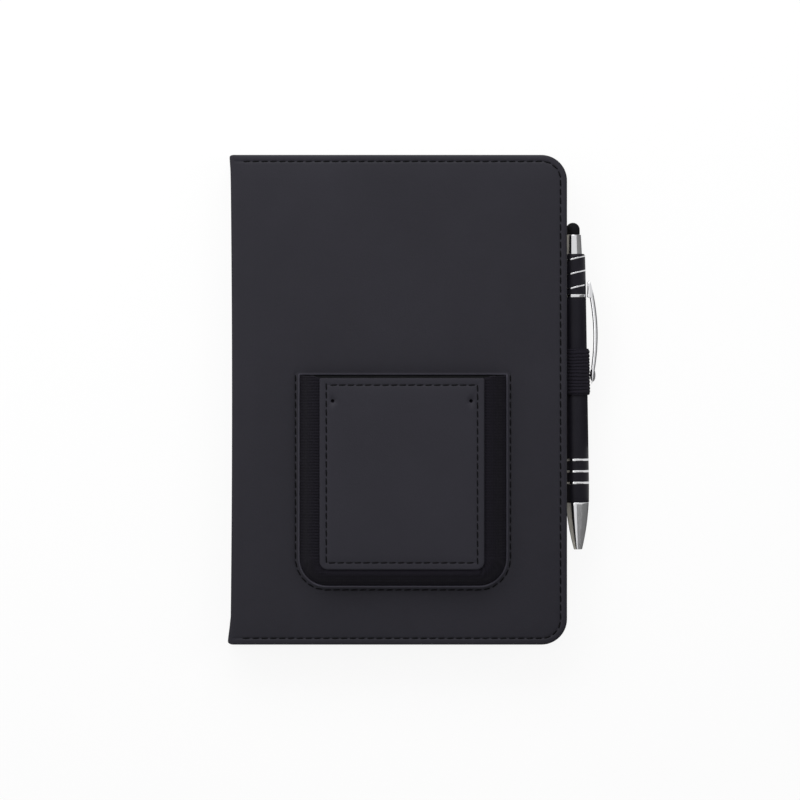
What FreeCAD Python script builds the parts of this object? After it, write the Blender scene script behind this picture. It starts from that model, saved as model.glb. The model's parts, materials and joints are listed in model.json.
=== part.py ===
import FreeCAD, Part
import os
import re
import Sketcher

# A closed pocket notebook lying on its back cover, with a phone pocket on the front
# cover and a stylus pen in a loop at the fore edge. Lengths in mm, angles in degrees.
# X runs across the cover, from the spine (-X) to the fore edge, Y up the page, Z up.

V = FreeCAD.Vector
doc = FreeCAD.newDocument("PocketNotebook")

SIZES = {
    # covers
    "cover_height": "210",
    "cover_edge": "72.1",
    "cover_corner": "11",
    "cover_thick": "2.6",
    "skin_thick": "0.8",
    "pad_thick": "0.5",
    "board_thick": "0.8",
    "rim_width": "4.5",
    "edge_round": "0.7",
    "hinge_line": "71",
    "hinge_gap": "0.15",
    "spine_board_thick": "0.8",
    "spine_lining_thick": "0.6",
    # paper
    "section_thick": "1.5",
    "paper_thick": "0.2",
    "fore_margin": "3.6",
    "head_margin": "4",
    "page_corner": "8",
    "backing_thick": "0.3",
    "block_gap": "0.4",
    "paste_margin": "0.6",
    # pocket
    "window_left": "42.4",
    "window_right": "45.9",
    "window_top": "10.6",
    "window_drop": "79.6",
    "window_corner": "11.6",
    "window_clear": "0.3",
    "flange_width": "4.5",
    "floor_clear": "0.2",
    "floor_thick": "0.3",
    "elastic_thick": "0.8",
    "pocket_rise": "9.1",
    "lean_left": "4.9",
    "lean_right": "5.4",
    "lean_drop": "3.6",
    "mouth_clear": "0.4",
    "front_corner": "6",
    "patch_thick": "1",
    "patch_left_margin": "3.6",
    "patch_right_margin": "4",
    "patch_top_margin": "1",
    "patch_drop_margin": "3.5",
    "patch_corner": "3.5",
    "patch_round": "0.35",
    "eyelet_radius": "0.75",
    "eyelet_inset": "5.7",
    "eyelet_below": "9.7",
    # pen loop
    "loop_top": "21.9",
    "loop_length": "19.9",
    "loop_wall": "0.8",
    "loop_clear": "0.3",
    "loop_tail": "19",
    "web_gap": "0.8",
    "notch_clear": "0.5",
    "notch_lap": "0.1",
    "notch_reach": "1",
    # pen, measured along its own axis
    "pen_stand": "3.9",
    "pen_tilt": "0.93",
    "pen_drop": "64.4",
    "nose_length": "20.3",
    "nose_root_radius": "4.95",
    "nose_tip_radius": "1.9",
    "nose_bulge": "0.46",
    "nose_lip": "0.5",
    "spigot_length": "6",
    "spigot_clear": "0.1",
    "lower_length": "58",
    "upper_length": "48.8",
    "barrel_radius": "5.2",
    "barrel_wall": "1",
    "nose_step": "0.1",
    "barrel_taper": "7",
    "shoulder_length": "0.5",
    "shoulder_radius": "4.6",
    "collar_length": "10",
    "coupling_length": "16",
    "coupling_bore": "3",
    "plunger_radius": "3.8",
    "plunger_top_radius": "3.5",
    "plunger_clear": "0.3",
    "plunger_show": "8.3",
    "plunger_depth": "9",
    "plunger_wall": "0.6",
    "plunger_cap": "1",
    "stylus_height": "5.2",
    "stylus_radius": "2.95",
    "stem_length": "4",
    "stem_radius": "2.1",
    "rod_radius": "2",
    "rod_head": "3",
    "rod_drop": "12",
    "sleeve_depth": "15.7",
    "sleeve_length": "6",
    "sleeve_clear": "0.3",
    "rotor_length": "4.5",
    "rotor_radius": "2.2",
    "rotor_neck": "1.6",
    "refill_radius": "1.45",
    "refill_bore": "1.1",
    "plug_length": "3",
    "plug_stem": "2",
    "point_radius": "1.1",
    "point_length": "15.6",
    "point_ball": "0.35",
    "point_taper": "3.5",
    "point_back": "0.8",
    "crimp_length": "2",
    "tenon_length": "3",
    "point_clear": "0.35",
    "spring_wire": "0.22",
    "spring_turns": "4",
    "spring_length": "10",
    "seat_depth": "9.9",
    "spring_clear": "0.3",
    # bands and clip
    "band_proud": "0.12",
    "band_slope": "14",
    "band_width": "0.75",
    "band_first": "2.2",
    "band_pitch": "6.2",
    "clip_ring_drop": "18",
    "clip_ring_width": "1.2",
    "ring_first": "8.4",
    "ring_pitch": "4.95",
    "ring_width": "0.95",
    "clip_width": "4.4",
    "clip_root_drop": "19.2",
    "clip_root_out": "1.55",
    "clip_head_rise": "7.5",
    "clip_head_out": "1.5",
    "clip_length": "36.8",
    "clip_tail_out": "1.8",
    "clip_bow": "2.85",
    "clip_hollow": "1.2",
    "clip_lug_gap": "0.4",
    "clip_lug_rise": "6.4",
    "clip_lug_lean": "0.3",
    "clip_lug_foot": "1.1",
    "clip_lug_ease": "0.4",
    "clip_ball_length": "7.2",
    "clip_ball_out": "1.7",
    "clip_ball": "0.42",
}

DERIVED = {
    "half_height": "cover_height / 2",
    "half_pages": "half_height - head_margin",
    "page_edge": "cover_edge - fore_margin",
    "spine_radius": "cover_thick / 2",
    "spine_inside": "spine_radius - hinge_line - spine_board_thick - spine_lining_thick",
    "cover_start": "spine_radius + hinge_gap - hinge_line",
    "lining_thick": "cover_thick - skin_thick - pad_thick - board_thick",
    "half_block": "4 * section_thick + 2 * paper_thick",
    "mid_height": "cover_thick + half_block",
    "total_thick": "2 * mid_height",
    "pages_start": "spine_radius + block_gap - hinge_line",
    "paper_start": "pages_start + backing_thick",
    "rim_line": "cover_edge - rim_width",
    "rim_top": "half_height - rim_width",
    "rim_corner": "cover_corner - rim_width",
    "front_left": "window_left - lean_left",
    "front_right": "window_right - lean_right",
    "front_top": "window_top - mouth_clear",
    "front_drop": "window_drop - lean_drop",
    "patch_left": "front_left - patch_left_margin",
    "patch_right": "front_right - patch_right_margin",
    "patch_top": "front_top - patch_top_margin",
    "patch_drop": "front_drop - patch_drop_margin",
    "pocket_base": "total_thick - skin_thick",
    "floor_low": "pocket_base - pad_thick",
    "flange_low": "floor_low + floor_thick",
    "lip_left": "window_left + flange_width",
    "lip_right": "window_right + flange_width",
    "lip_top": "window_top + flange_width",
    "lip_drop": "window_drop + flange_width",
    "lip_corner": "window_corner + flange_width",
    "pocket_front": "pocket_base + pocket_rise",
    "pen_line": "cover_edge + pen_stand",
    "loop_bore": "barrel_radius + loop_clear",
    "loop_radius": "loop_bore + loop_wall",
    "strap_end": "pen_line - page_edge - web_gap",
    "nose_top": "nose_length - pen_drop",
    "nose_flare": "nose_root_radius - nose_tip_radius",
    "barrel_end_radius": "nose_root_radius + nose_step",
    "sleeve_bore": "rotor_radius + sleeve_clear",
    "crimp_radius": "spring_radius + spring_wire",
    "barrel_joint": "nose_top + lower_length",
    "barrel_top": "barrel_joint + upper_length",
    "plunger_top": "barrel_top + plunger_show",
    "barrel_bore": "barrel_radius - barrel_wall",
    "fit_radius": "barrel_bore - spigot_clear",
    "plunger_bore": "plunger_radius - plunger_wall",
    "plunger_foot": "barrel_top - plunger_depth",
    "rod_top": "plunger_top - stem_length",
    "sleeve_top": "barrel_top - sleeve_depth",
    "rotor_top": "plunger_foot - rod_drop",
    "plug_top": "rotor_top - rotor_length",
    "tube_top": "plug_top - plug_length",
    "point_bore": "point_radius + point_clear",
    "point_tip": "point_back - pen_drop",
    "point_shoulder": "point_tip + point_length",
    "nose_shoulder": "nose_top - seat_depth",
    "crimp_foot": "nose_shoulder + spring_length",
    "crimp_top": "crimp_foot + crimp_length",
    "spring_radius": "refill_radius + spring_clear + spring_wire",
    "nose_bore": "spring_radius + spring_wire + spring_clear",
    "clip_root": "barrel_top - clip_root_drop",
    "clip_head": "clip_root + clip_head_rise",
    "clip_tail": "clip_root - clip_length",
    "clip_ball_top": "clip_tail + clip_ball_length",
}

sheet = doc.addObject("Spreadsheet::Sheet", "Sizes")
for row, (name, text) in enumerate(SIZES.items(), 1):
    sheet.set(f"A{row}", text)
    sheet.setAlias(f"A{row}", name)
for row, (name, text) in enumerate(DERIVED.items(), 1):
    sheet.set(f"C{row}", "=" + text)
    sheet.setAlias(f"C{row}", name)
doc.recompute()
NAMES = set(SIZES) | set(DERIVED)
NODES = {}


def bound(text):
    """The text as an expression on the sheet's named sizes."""
    return re.sub(r"[a-z_]+", lambda m: f"Sizes.{m[0]}" if m[0] in NAMES else m[0], text)


def value(text):
    return float(sheet.evalExpression(bound(text)))


def step(a, b):
    """-1, 0 or 1: the way from a to b."""
    return 0 if abs(b - a) < 1e-9 else (1 if b > a else -1)


def moved(text, way, by):
    return text if way == 0 else f"({text}) {'+' if way > 0 else '-'} ({by})"


def rounded(corners):
    """Corners (x, y), (x, y, radius) on square runs, or (x, y, None, rise, side) where
    an arc leads on to the next corner, as points (x, y, arc radius, side)."""
    at = [(value(c[0]), value(c[1])) for c in corners]
    points = []
    for i, c in enumerate(corners):
        before, here, after = at[i - 1], at[i], at[(i + 1) % len(at)]
        if len(c) == 5:
            x, y = corners[(i + 1) % len(corners)][:2]
            half = f"((({x}) - ({c[0]}))^2 + (({y}) - ({c[1]}))^2) / 4"
            points.append((c[0], c[1], f"({half} + ({c[3]})^2) / (2 * ({c[3]}))", c[4]))
        elif len(c) == 3:
            ways = [(step(before[k], here[k]), step(here[k], after[k])) for k in (0, 1)]
            turn = ways[0][0] * ways[1][1] - ways[1][0] * ways[0][1]
            start = [moved(c[k], -ways[k][0], c[2]) for k in (0, 1)]
            end = [moved(c[k], ways[k][1], c[2]) for k in (0, 1)]
            points += [(*start, c[2], turn), (*end, None, 0)]
        else:
            points.append((c[0], c[1], None, 0))
    return points


def bind(sketch, kind, where, text):
    index = sketch.addConstraint(Sketcher.Constraint(kind, *where, value(text)))
    sketch.setExpression(f"Constraints[{index}]", bound(text))


def outline(sketch, corners):
    """A closed outline in a sketch, each end and radius bound to the sheet."""
    points = rounded(corners)
    at = [V(value(p[0]), value(p[1]), 0) for p in points]
    ends = []
    for i, (x, y, radius, side) in enumerate(points):
        a, b = at[i], at[(i + 1) % len(at)]
        if radius is None:
            ends.append((sketch.addGeometry(Part.LineSegment(a, b), False), 1, 2))
            continue
        run = b - a
        out = V(run.y, -run.x, 0).normalize() * side
        rise = value(radius) - max(value(radius) ** 2 - run.Length**2 / 4, 0) ** 0.5
        arc = Part.Arc(a, (a + b) * 0.5 + out * rise, b)
        edge = sketch.addGeometry(arc, False)
        ends.append((edge, 1, 2) if side > 0 else (edge, 2, 1))
    for i, (edge, start, end) in enumerate(ends):
        following = ends[(i + 1) % len(ends)]
        join = Sketcher.Constraint("Coincident", edge, end, following[0], following[1])
        sketch.addConstraint(join)
    for (edge, start, end), (x, y, radius, side) in zip(ends, points):
        bind(sketch, "DistanceX", (-1, 1, edge, start), x)
        bind(sketch, "DistanceY", (-1, 1, edge, start), y)
        if radius is not None:
            bind(sketch, "Radius", (edge,), radius)


def circle(sketch, x, y, radius):
    edge = sketch.addGeometry(Part.Circle(V(value(x), value(y), 0), V(0, 0, 1), 1), False)
    if x == y == "0":
        sketch.addConstraint(Sketcher.Constraint("Coincident", edge, 3, -1, 1))
    else:
        bind(sketch, "DistanceX", (-1, 1, edge, 3), x)
        bind(sketch, "DistanceY", (-1, 1, edge, 3), y)
    bind(sketch, "Radius", (edge,), radius)


def new_body(name):
    body = doc.addObject("PartDesign::Body", name)
    body.Label = name
    NODES[name] = body
    return body


def new_sketch(body, plane, offset="0"):
    sketch = body.newObject("Sketcher::SketchObject", body.Name + "_sketch")
    face = next(f for f in body.Origin.OriginFeatures if f.Role == plane)
    sketch.AttachmentSupport = [(face, "")]
    sketch.MapMode = "FlatFace"
    sketch.setExpression("AttachmentOffset.Base.z", bound(offset))
    return sketch


def feature(body, kind, sketch, length=None, both=False):
    made = body.newObject("PartDesign::" + kind, f"{body.Name}_{kind.lower()}")
    made.Profile = sketch
    if length:
        made.setExpression("Length", bound(length))
    if both:
        made.SideType = "Symmetric"
    if kind == "Revolution":
        made.ReferenceAxis = (sketch, ["V_Axis"])
    sketch.Visibility = False
    body.Tip = made
    return made


def slab(name, corners, low, thick, *holes):
    """A flat piece: an outline with its holes, raised from the height low."""
    body = new_body(name)
    sketch = new_sketch(body, "XY_Plane", low)
    for loop in (corners, *holes):
        outline(sketch, loop)
    feature(body, "Pad", sketch, thick)
    return body


def sink(body, corners, top, depth):
    """Cuts an outline down from the height top."""
    before = body.Tip.Shape.Volume
    cut = feature(body, "Pocket", new_sketch(body, "XY_Plane", top), depth)
    outline(cut.Profile[0], corners)
    doc.recompute()
    if cut.Shape.Volume >= before:
        cut.Reversed = True
    return cut


def turned(name, corners):
    """A round piece about the pen's own axis: corners are radius and height."""
    body = new_body(name)
    sketch = new_sketch(body, "XY_Plane")
    outline(sketch, corners)
    feature(body, "Revolution", sketch)
    return on_pen(body)


def on_pen(piece):
    """Places a piece drawn about the Y axis on the pen's leaning line."""
    piece.Placement = FreeCAD.Placement(V(1, 0, 1), FreeCAD.Rotation(V(0, 0, 1), 1))
    piece.setExpression("Placement.Base.x", bound("pen_line"))
    piece.setExpression("Placement.Base.z", bound("mid_height"))
    piece.setExpression("Placement.Rotation.Angle", bound("pen_tilt"))
    return piece


def leaf(start, edge, half, corner):
    """A sheet with square corners at the spine and round ones at the fore edge."""
    return [
        (start, f"-({half})"),
        (edge, f"-({half})", corner),
        (edge, half, corner),
        (start, half),
    ]


def pocket_shape(left, right, top, drop, corner):
    """A panel with square top corners and round bottom ones."""
    return [
        (f"-({left})", f"-({drop})", corner),
        (right, f"-({drop})", corner),
        (right, top),
        (f"-({left})", top),
    ]


def band_shape(left, right, top, drop, corner, wide):
    """A U of even width, open at the top, whose outer edge has these sizes."""
    return [
        (f"-({left})", f"-({drop})", corner),
        (right, f"-({drop})", corner),
        (right, top),
        (f"({right}) - ({wide})", top),
        (f"({right}) - ({wide})", f"({wide}) - ({drop})", f"({corner}) - ({wide})"),
        (f"({wide}) - ({left})", f"({wide}) - ({drop})", f"({corner}) - ({wide})"),
        (f"({wide}) - ({left})", top),
        (f"-({left})", top),
    ]


# covers: a skin with a turned-in rim around padding, board and lining
WHOLE = leaf("cover_start", "cover_edge", "half_height", "cover_corner")
INSIDE = leaf("cover_start", "rim_line", "rim_top", "rim_corner")
LOOP_FOOT = "loop_top - loop_length - notch_clear"
LOOP_HEAD = "loop_top + notch_clear"


def box_shape(left, low, right, high):
    return [(left, low), (right, low), (right, high), (left, high)]


def round_rim(body, height):
    """Rounds the outer edges of a cover skin that lie at this height."""
    names = []
    for i, edge in enumerate(body.Tip.Shape.Edges, 1):
        box, at = edge.BoundBox, edge.CenterOfMass
        outer = at.x > value("rim_line") or abs(at.y) > value("rim_top")
        if outer and max(abs(box.ZMin - height), abs(box.ZMax - height)) < 1e-6:
            names.append(f"Edge{i}")
    base = body.Tip
    made = body.newObject("PartDesign::Fillet", body.Name + "_round")
    made.Base = (base, names)
    made.setExpression("Radius", bound("edge_round"))
    body.Tip = made


back = slab("back_skin", WHOLE, "0", "cover_thick")
doc.recompute()
sink(back, INSIDE, "cover_thick", "cover_thick - skin_thick")
sink(
    back,
    box_shape(
        "rim_line - notch_lap", LOOP_FOOT, "page_edge + web_gap + loop_wall + notch_clear", LOOP_HEAD
    ),
    "cover_thick",
    "lining_thick",
)
round_rim(back, 0)
slab("back_padding", INSIDE, "skin_thick", "pad_thick")
slab("back_board", INSIDE, "skin_thick + pad_thick", "board_thick")
lining = slab("back_lining", INSIDE, "cover_thick - lining_thick", "lining_thick")
doc.recompute()
sink(
    lining,
    box_shape(
        "page_edge + web_gap - loop_tail - notch_clear", LOOP_FOOT, "rim_line + notch_reach", LOOP_HEAD
    ),
    "cover_thick",
    "lining_thick",
)

front = slab("front_skin", WHOLE, "total_thick - cover_thick", "cover_thick")
doc.recompute()
sink(front, INSIDE, "pocket_base", "cover_thick - skin_thick")
round_rim(front, value("total_thick"))
doc.recompute()
WINDOW = pocket_shape("window_left", "window_right", "window_top", "window_drop", "window_corner")
sink(front, WINDOW, "total_thick", "skin_thick")
slab(
    "front_padding",
    INSIDE,
    "floor_low",
    "pad_thick",
    pocket_shape("lip_left", "lip_right", "lip_top", "lip_drop", "lip_corner"),
)
slab("front_board", INSIDE, "floor_low - board_thick", "board_thick")
slab("front_lining", INSIDE, "total_thick - cover_thick", "lining_thick")

# spine: a strip with round ends that turns about the two cover hinges
QUARTER = "spine_radius * (1 - 1 / sqrt(2))"
spine = new_body("spine_skin")
profile = new_sketch(spine, "XZ_Plane", "-half_height")
outline(
    profile,
    [
        ("-hinge_line - spine_radius", "spine_radius", None, QUARTER, 1),
        ("-hinge_line", "0", None, QUARTER, 1),
        ("spine_radius - hinge_line", "spine_radius"),
        ("spine_radius - hinge_line", "cover_thick"),
        ("spine_inside", "cover_thick"),
        ("spine_inside", "total_thick - cover_thick"),
        ("spine_radius - hinge_line", "total_thick - cover_thick"),
        ("spine_radius - hinge_line", "total_thick - spine_radius", None, QUARTER, 1),
        ("-hinge_line", "total_thick", None, QUARTER, 1),
        ("-hinge_line - spine_radius", "total_thick - spine_radius"),
    ],
)
feature(spine, "Pad", profile, "cover_height")


def strip(name, left, right, low, high, half):
    """An upright strip beside the spine."""
    body = new_body(name)
    sketch = new_sketch(body, "XZ_Plane", f"-({half})")
    outline(sketch, box_shape(left, low, right, high))
    feature(body, "Pad", sketch, f"2 * ({half})")


BOARD_FACE = "spine_inside + spine_board_thick"
HIGH = "total_thick - cover_thick"
strip("spine_board", "spine_inside", BOARD_FACE, "cover_thick", HIGH, "half_height")
strip("spine_lining", BOARD_FACE, "spine_radius - hinge_line", "cover_thick", HIGH, "half_height")

# paper: a pasted sheet, a loose sheet and four sewn sections against each cover
PASTED = leaf("pages_start", "rim_line - paste_margin", "rim_top - paste_margin", "rim_corner")
LOOSE = leaf("pages_start", "page_edge", "half_pages", "page_corner")
SECTION = leaf("paper_start", "page_edge", "half_pages", "page_corner")
slab("back_endpaper", PASTED, "cover_thick", "paper_thick")
slab("back_flyleaf", LOOSE, "cover_thick + paper_thick", "paper_thick")
slab("front_endpaper", PASTED, "total_thick - cover_thick - paper_thick", "paper_thick")
slab("front_flyleaf", LOOSE, "total_thick - cover_thick - 2 * paper_thick", "paper_thick")
for i in range(8):
    slab(f"page_section_{i + 1}", SECTION, f"mid_height + {i - 4} * section_thick", "section_thick")
low, high = "cover_thick + 2 * paper_thick", "total_thick - cover_thick - 2 * paper_thick"
strip("back_pages_backing", "pages_start", "paper_start", low, "mid_height", "half_pages")
strip("front_pages_backing", "pages_start", "paper_start", "mid_height", high, "half_pages")

# phone pocket: a floor, a stretched elastic wall, its flat front and a leather patch
slab(
    "pocket_floor",
    pocket_shape(
        *(f"{side} - floor_clear" for side in ("lip_left", "lip_right", "lip_top", "lip_drop")),
        "lip_corner - floor_clear",
    ),
    "floor_low",
    "floor_thick",
)
gusset = new_body("elastic_gusset")
flange = new_sketch(gusset, "XY_Plane", "flange_low")
outline(
    flange,
    band_shape(
        "lip_left - floor_clear",
        "lip_right - floor_clear",
        "front_top",
        "lip_drop - floor_clear",
        "lip_corner - floor_clear",
        "flange_width - floor_clear + window_clear + elastic_thick",
    ),
)
feature(gusset, "Pad", flange, "pocket_base - flange_low")
foot = new_sketch(gusset, "XY_Plane", "flange_low")
outline(
    foot,
    band_shape(
        "window_left - window_clear",
        "window_right - window_clear",
        "front_top",
        "window_drop - window_clear",
        "window_corner - window_clear",
        "elastic_thick",
    ),
)
head = new_sketch(gusset, "XY_Plane", "pocket_front")
outline(
    head,
    band_shape("front_left", "front_right", "front_top", "front_drop", "front_corner", "elastic_thick"),
)
wall = gusset.newObject("PartDesign::AdditiveLoft", "elastic_gusset_wall")
wall.Profile = foot
wall.Sections = [head]
gusset.Tip = wall
slab(
    "elastic_front",
    pocket_shape("front_left", "front_right", "front_top", "front_drop", "front_corner"),
    "pocket_front",
    "elastic_thick",
)
patch = new_body("pocket_patch")
shape = new_sketch(patch, "XY_Plane", "pocket_front + elastic_thick")
outline(
    shape, pocket_shape("patch_left", "patch_right", "patch_top", "patch_drop", "patch_corner")
)
circle(shape, "eyelet_inset - patch_left", "patch_top - eyelet_below", "eyelet_radius")
circle(shape, "patch_right - eyelet_inset", "patch_top - eyelet_below", "eyelet_radius")
feature(patch, "Pad", shape, "patch_thick")

# pen loop: a ring on a strap whose tail lies in the back lining under the pasted sheet
loop = new_body("pen_loop")
ring = new_sketch(loop, "XZ_Plane", "-loop_top")
circle(ring, "0", "0", "loop_radius")
circle(ring, "0", "0", "loop_bore")
feature(loop, "Pad", ring, "loop_length")
strap = new_sketch(loop, "XZ_Plane", "-loop_top")
outline(
    strap,
    [
        ("-strap_end - loop_tail", "-half_block - lining_thick"),
        ("loop_wall - strap_end", "-half_block - lining_thick"),
        ("loop_wall - strap_end", "-loop_radius"),
        ("0", "-loop_radius"),
        ("0", "-loop_bore"),
        ("-strap_end", "-loop_bore"),
        ("-strap_end", "-half_block"),
        ("-strap_end - loop_tail", "-half_block"),
    ],
)
feature(loop, "Pad", strap, "loop_length")
on_pen(loop)

# pen: barrels, coupling and nose
turned(
    "upper_barrel",
    [
        ("barrel_bore", "barrel_joint"),
        ("barrel_radius", "barrel_joint"),
        ("barrel_radius", "barrel_top - shoulder_length"),
        ("shoulder_radius", "barrel_top"),
        ("plunger_radius + plunger_clear", "barrel_top"),
        ("plunger_radius + plunger_clear", "barrel_top - collar_length"),
        ("barrel_bore", "barrel_top - collar_length"),
    ],
)
turned(
    "lower_barrel",
    [
        ("barrel_bore", "nose_top"),
        ("barrel_end_radius", "nose_top"),
        ("barrel_radius", "nose_top + barrel_taper"),
        ("barrel_radius", "barrel_joint"),
        ("barrel_bore", "barrel_joint"),
    ],
)
turned(
    "barrel_coupling",
    box_shape(
        "coupling_bore",
        "barrel_joint - coupling_length / 2",
        "fit_radius",
        "barrel_joint + coupling_length / 2",
    ),
)
turned(
    "nose_cone",
    [
        ("point_bore", "-pen_drop"),
        ("nose_tip_radius - nose_lip / 2", "-pen_drop"),
        ("nose_tip_radius", "nose_lip - pen_drop"),
        (
            "nose_tip_radius + nose_flare / 2 + nose_bulge",
            "nose_lip - pen_drop + (nose_length - nose_lip) / 2",
        ),
        ("nose_root_radius", "nose_top"),
        ("fit_radius", "nose_top"),
        ("fit_radius", "nose_top + spigot_length"),
        ("nose_bore", "nose_top + spigot_length"),
        ("nose_bore", "nose_shoulder"),
        ("point_bore", "nose_shoulder"),
    ],
)
turned(
    "cam_sleeve",
    box_shape("sleeve_bore", "sleeve_top - sleeve_length", "fit_radius", "sleeve_top"),
)

# click mechanism: stylus, plunger, push rod and cam rotor
turned(
    "stylus_tip",
    [
        ("0", "plunger_top - stem_length"),
        ("stem_radius", "plunger_top - stem_length"),
        ("stem_radius", "plunger_top"),
        ("stylus_radius", "plunger_top"),
        *(
            (
                f"stylus_radius * cos({turn} * 1deg)",
                f"plunger_top + stylus_height - stylus_radius * (1 - sin({turn} * 1deg))",
            )
            for turn in (0, 25, 50, 72)
        ),
        ("0", "plunger_top + stylus_height"),
    ],
)
turned(
    "plunger_tube",
    [
        ("plunger_bore", "plunger_foot"),
        ("plunger_radius", "plunger_foot"),
        ("plunger_radius", "barrel_top"),
        ("plunger_top_radius", "plunger_top"),
        ("stem_radius + spigot_clear", "plunger_top"),
        ("stem_radius + spigot_clear", "plunger_top - plunger_cap"),
        ("plunger_bore", "plunger_top - plunger_cap"),
    ],
)
turned(
    "push_rod",
    [
        ("0", "rotor_top"),
        ("rod_radius", "rotor_top"),
        ("rod_radius", "rod_top - rod_head"),
        ("plunger_bore - spigot_clear", "rod_top - rod_head"),
        ("plunger_bore - spigot_clear", "rod_top"),
        ("0", "rod_top"),
    ],
)
turned(
    "cam_rotor",
    [
        ("0", "plug_top"),
        ("rotor_neck", "plug_top"),
        ("rotor_radius", "plug_top + rotor_radius - rotor_neck"),
        ("rotor_radius", "rotor_top"),
        ("0", "rotor_top"),
    ],
)

# refill and its spring
turned(
    "refill_plug",
    [
        ("0", "tube_top - plug_stem"),
        ("refill_bore - spigot_clear", "tube_top - plug_stem"),
        ("refill_bore - spigot_clear", "tube_top"),
        ("refill_radius", "tube_top"),
        ("refill_radius", "plug_top"),
        ("0", "plug_top"),
    ],
)
turned("ink_tube", box_shape("refill_bore", "crimp_top", "refill_radius", "tube_top"))
turned(
    "refill_point",
    [
        ("0", "point_tip"),
        ("point_ball", "point_tip"),
        ("point_radius", "point_tip + point_taper"),
        ("point_radius", "point_shoulder"),
        ("refill_radius", "point_shoulder"),
        ("refill_radius", "crimp_foot"),
        ("crimp_radius", "crimp_foot"),
        ("crimp_radius", "crimp_top"),
        ("refill_bore - spigot_clear", "crimp_top"),
        ("refill_bore - spigot_clear", "crimp_top + tenon_length"),
        ("0", "crimp_top + tenon_length"),
    ],
)
ALONG_Y = FreeCAD.Rotation(V(1, 0, 0), -90)
helix = doc.addObject("Part::Helix", "spring_path")
helix.Placement = FreeCAD.Placement(V(0, 1, 0), ALONG_Y)
helix.setExpression("Placement.Base.y", bound("nose_shoulder + spring_wire"))
helix.setExpression("Radius", bound("spring_radius"))
helix.setExpression("Height", bound("spring_length - 2 * spring_wire"))
helix.setExpression("Pitch", bound("(spring_length - 2 * spring_wire) / spring_turns"))
wire = doc.addObject("Part::RegularPolygon", "spring_section")
wire.Polygon = 4
wire.setExpression("Circumradius", bound("spring_wire"))
wire.setExpression("Placement.Base.x", bound("spring_radius"))
wire.setExpression("Placement.Base.y", bound("nose_shoulder + spring_wire"))
spring = doc.addObject("Part::Sweep", "refill_spring")
spring.Sections = [wire]
spring.Spine = (helix, ["Edge1"])
spring.Solid = True
spring.Frenet = True
spring.Label = "refill_spring"
NODES["refill_spring"] = on_pen(spring)


def bands(name, shapes):
    """Rings around the barrel, cut out of a thin tube by upright slabs."""
    low, high = "nose_top + barrel_taper", "barrel_top - shoulder_length"
    tube = doc.addObject("PartDesign::Body", name + "_tube")
    sketch = new_sketch(tube, "XY_Plane")
    outline(sketch, box_shape("barrel_radius", low, "barrel_radius + band_proud", high))
    feature(tube, "Revolution", sketch)
    slabs = doc.addObject("PartDesign::Body", name + "_slabs")
    sketch = new_sketch(slabs, "XY_Plane")
    for shape in shapes:
        outline(sketch, shape)
    feature(slabs, "Pad", sketch, "4 * barrel_radius", True)
    made = doc.addObject("Part::MultiCommon", name)
    made.Shapes = [tube, slabs]
    made.Label = name
    NODES[name] = on_pen(made)


REACH = "2 * barrel_radius"
RISE = f"{REACH} * tan(band_slope * 1deg)"
HALF = "band_width / 2 / cos(band_slope * 1deg)"


def sloping(at):
    """A slab outline that climbs to the right through this height."""
    return [
        (f"-{REACH}", f"{at} - {RISE} - {HALF}"),
        (REACH, f"{at} + {RISE} - {HALF}"),
        (REACH, f"{at} + {RISE} + {HALF}"),
        (f"-{REACH}", f"{at} - {RISE} + {HALF}"),
    ]


def level(at, width):
    return box_shape(f"-{REACH}", f"{at} - {width} / 2", REACH, f"{at} + {width} / 2")


bands(
    "upper_bands",
    [sloping(f"barrel_top - band_first - {i} * band_pitch") for i in range(3)]
    + [level("barrel_top - clip_ring_drop", "clip_ring_width")],
)
bands(
    "lower_bands",
    [level(f"nose_top + ring_first + {i} * ring_pitch", "ring_width") for i in range(3)],
)

# clip: a bowed strip whose root sits just clear of the barrel
LUG = "barrel_radius + clip_lug_gap"
clip = new_body("clip")
bow = new_sketch(clip, "XY_Plane")
outline(
    bow,
    [
        ("barrel_radius + clip_tail_out", "clip_tail", None, "clip_bow", 1),
        ("barrel_radius + clip_head_out", "clip_head"),
        (f"{LUG} + clip_lug_lean", "clip_root + clip_lug_rise"),
        (LUG, "clip_root + clip_lug_foot"),
        (LUG, "clip_root + clip_lug_ease"),
        (f"{LUG} + clip_lug_ease", "clip_root"),
        ("barrel_radius + clip_root_out", "clip_root", None, "clip_hollow", -1),
        ("barrel_radius + clip_ball_out", "clip_ball_top", None, "clip_ball", 1),
    ],
)
feature(clip, "Pad", bow, "clip_width", True)
on_pen(clip)

doc.recompute()
for name, piece in NODES.items():
    shape = piece.Shape
    if shape.isNull() or not shape.isValid() or not shape.Solids:
        raise RuntimeError(f"{name} has no sound shape")
for item in doc.Objects:
    if {"Invalid", "Error"} & set(item.State):
        raise RuntimeError(f"{item.Name} is {item.State}")
os.makedirs("parts", exist_ok=True)
for name, piece in NODES.items():
    piece.Shape.exportStep(f"parts/{name}.step")
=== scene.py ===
"""Dresses the packed pocket notebook: leather covers with a stretch phone pocket, a
page block, and a click pen with a stylus tip in an elastic loop."""

import json
import math
from functools import cached_property

import bmesh
import bpy
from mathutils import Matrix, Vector, noise
from mathutils.geometry import delaunay_2d_cdt


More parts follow.
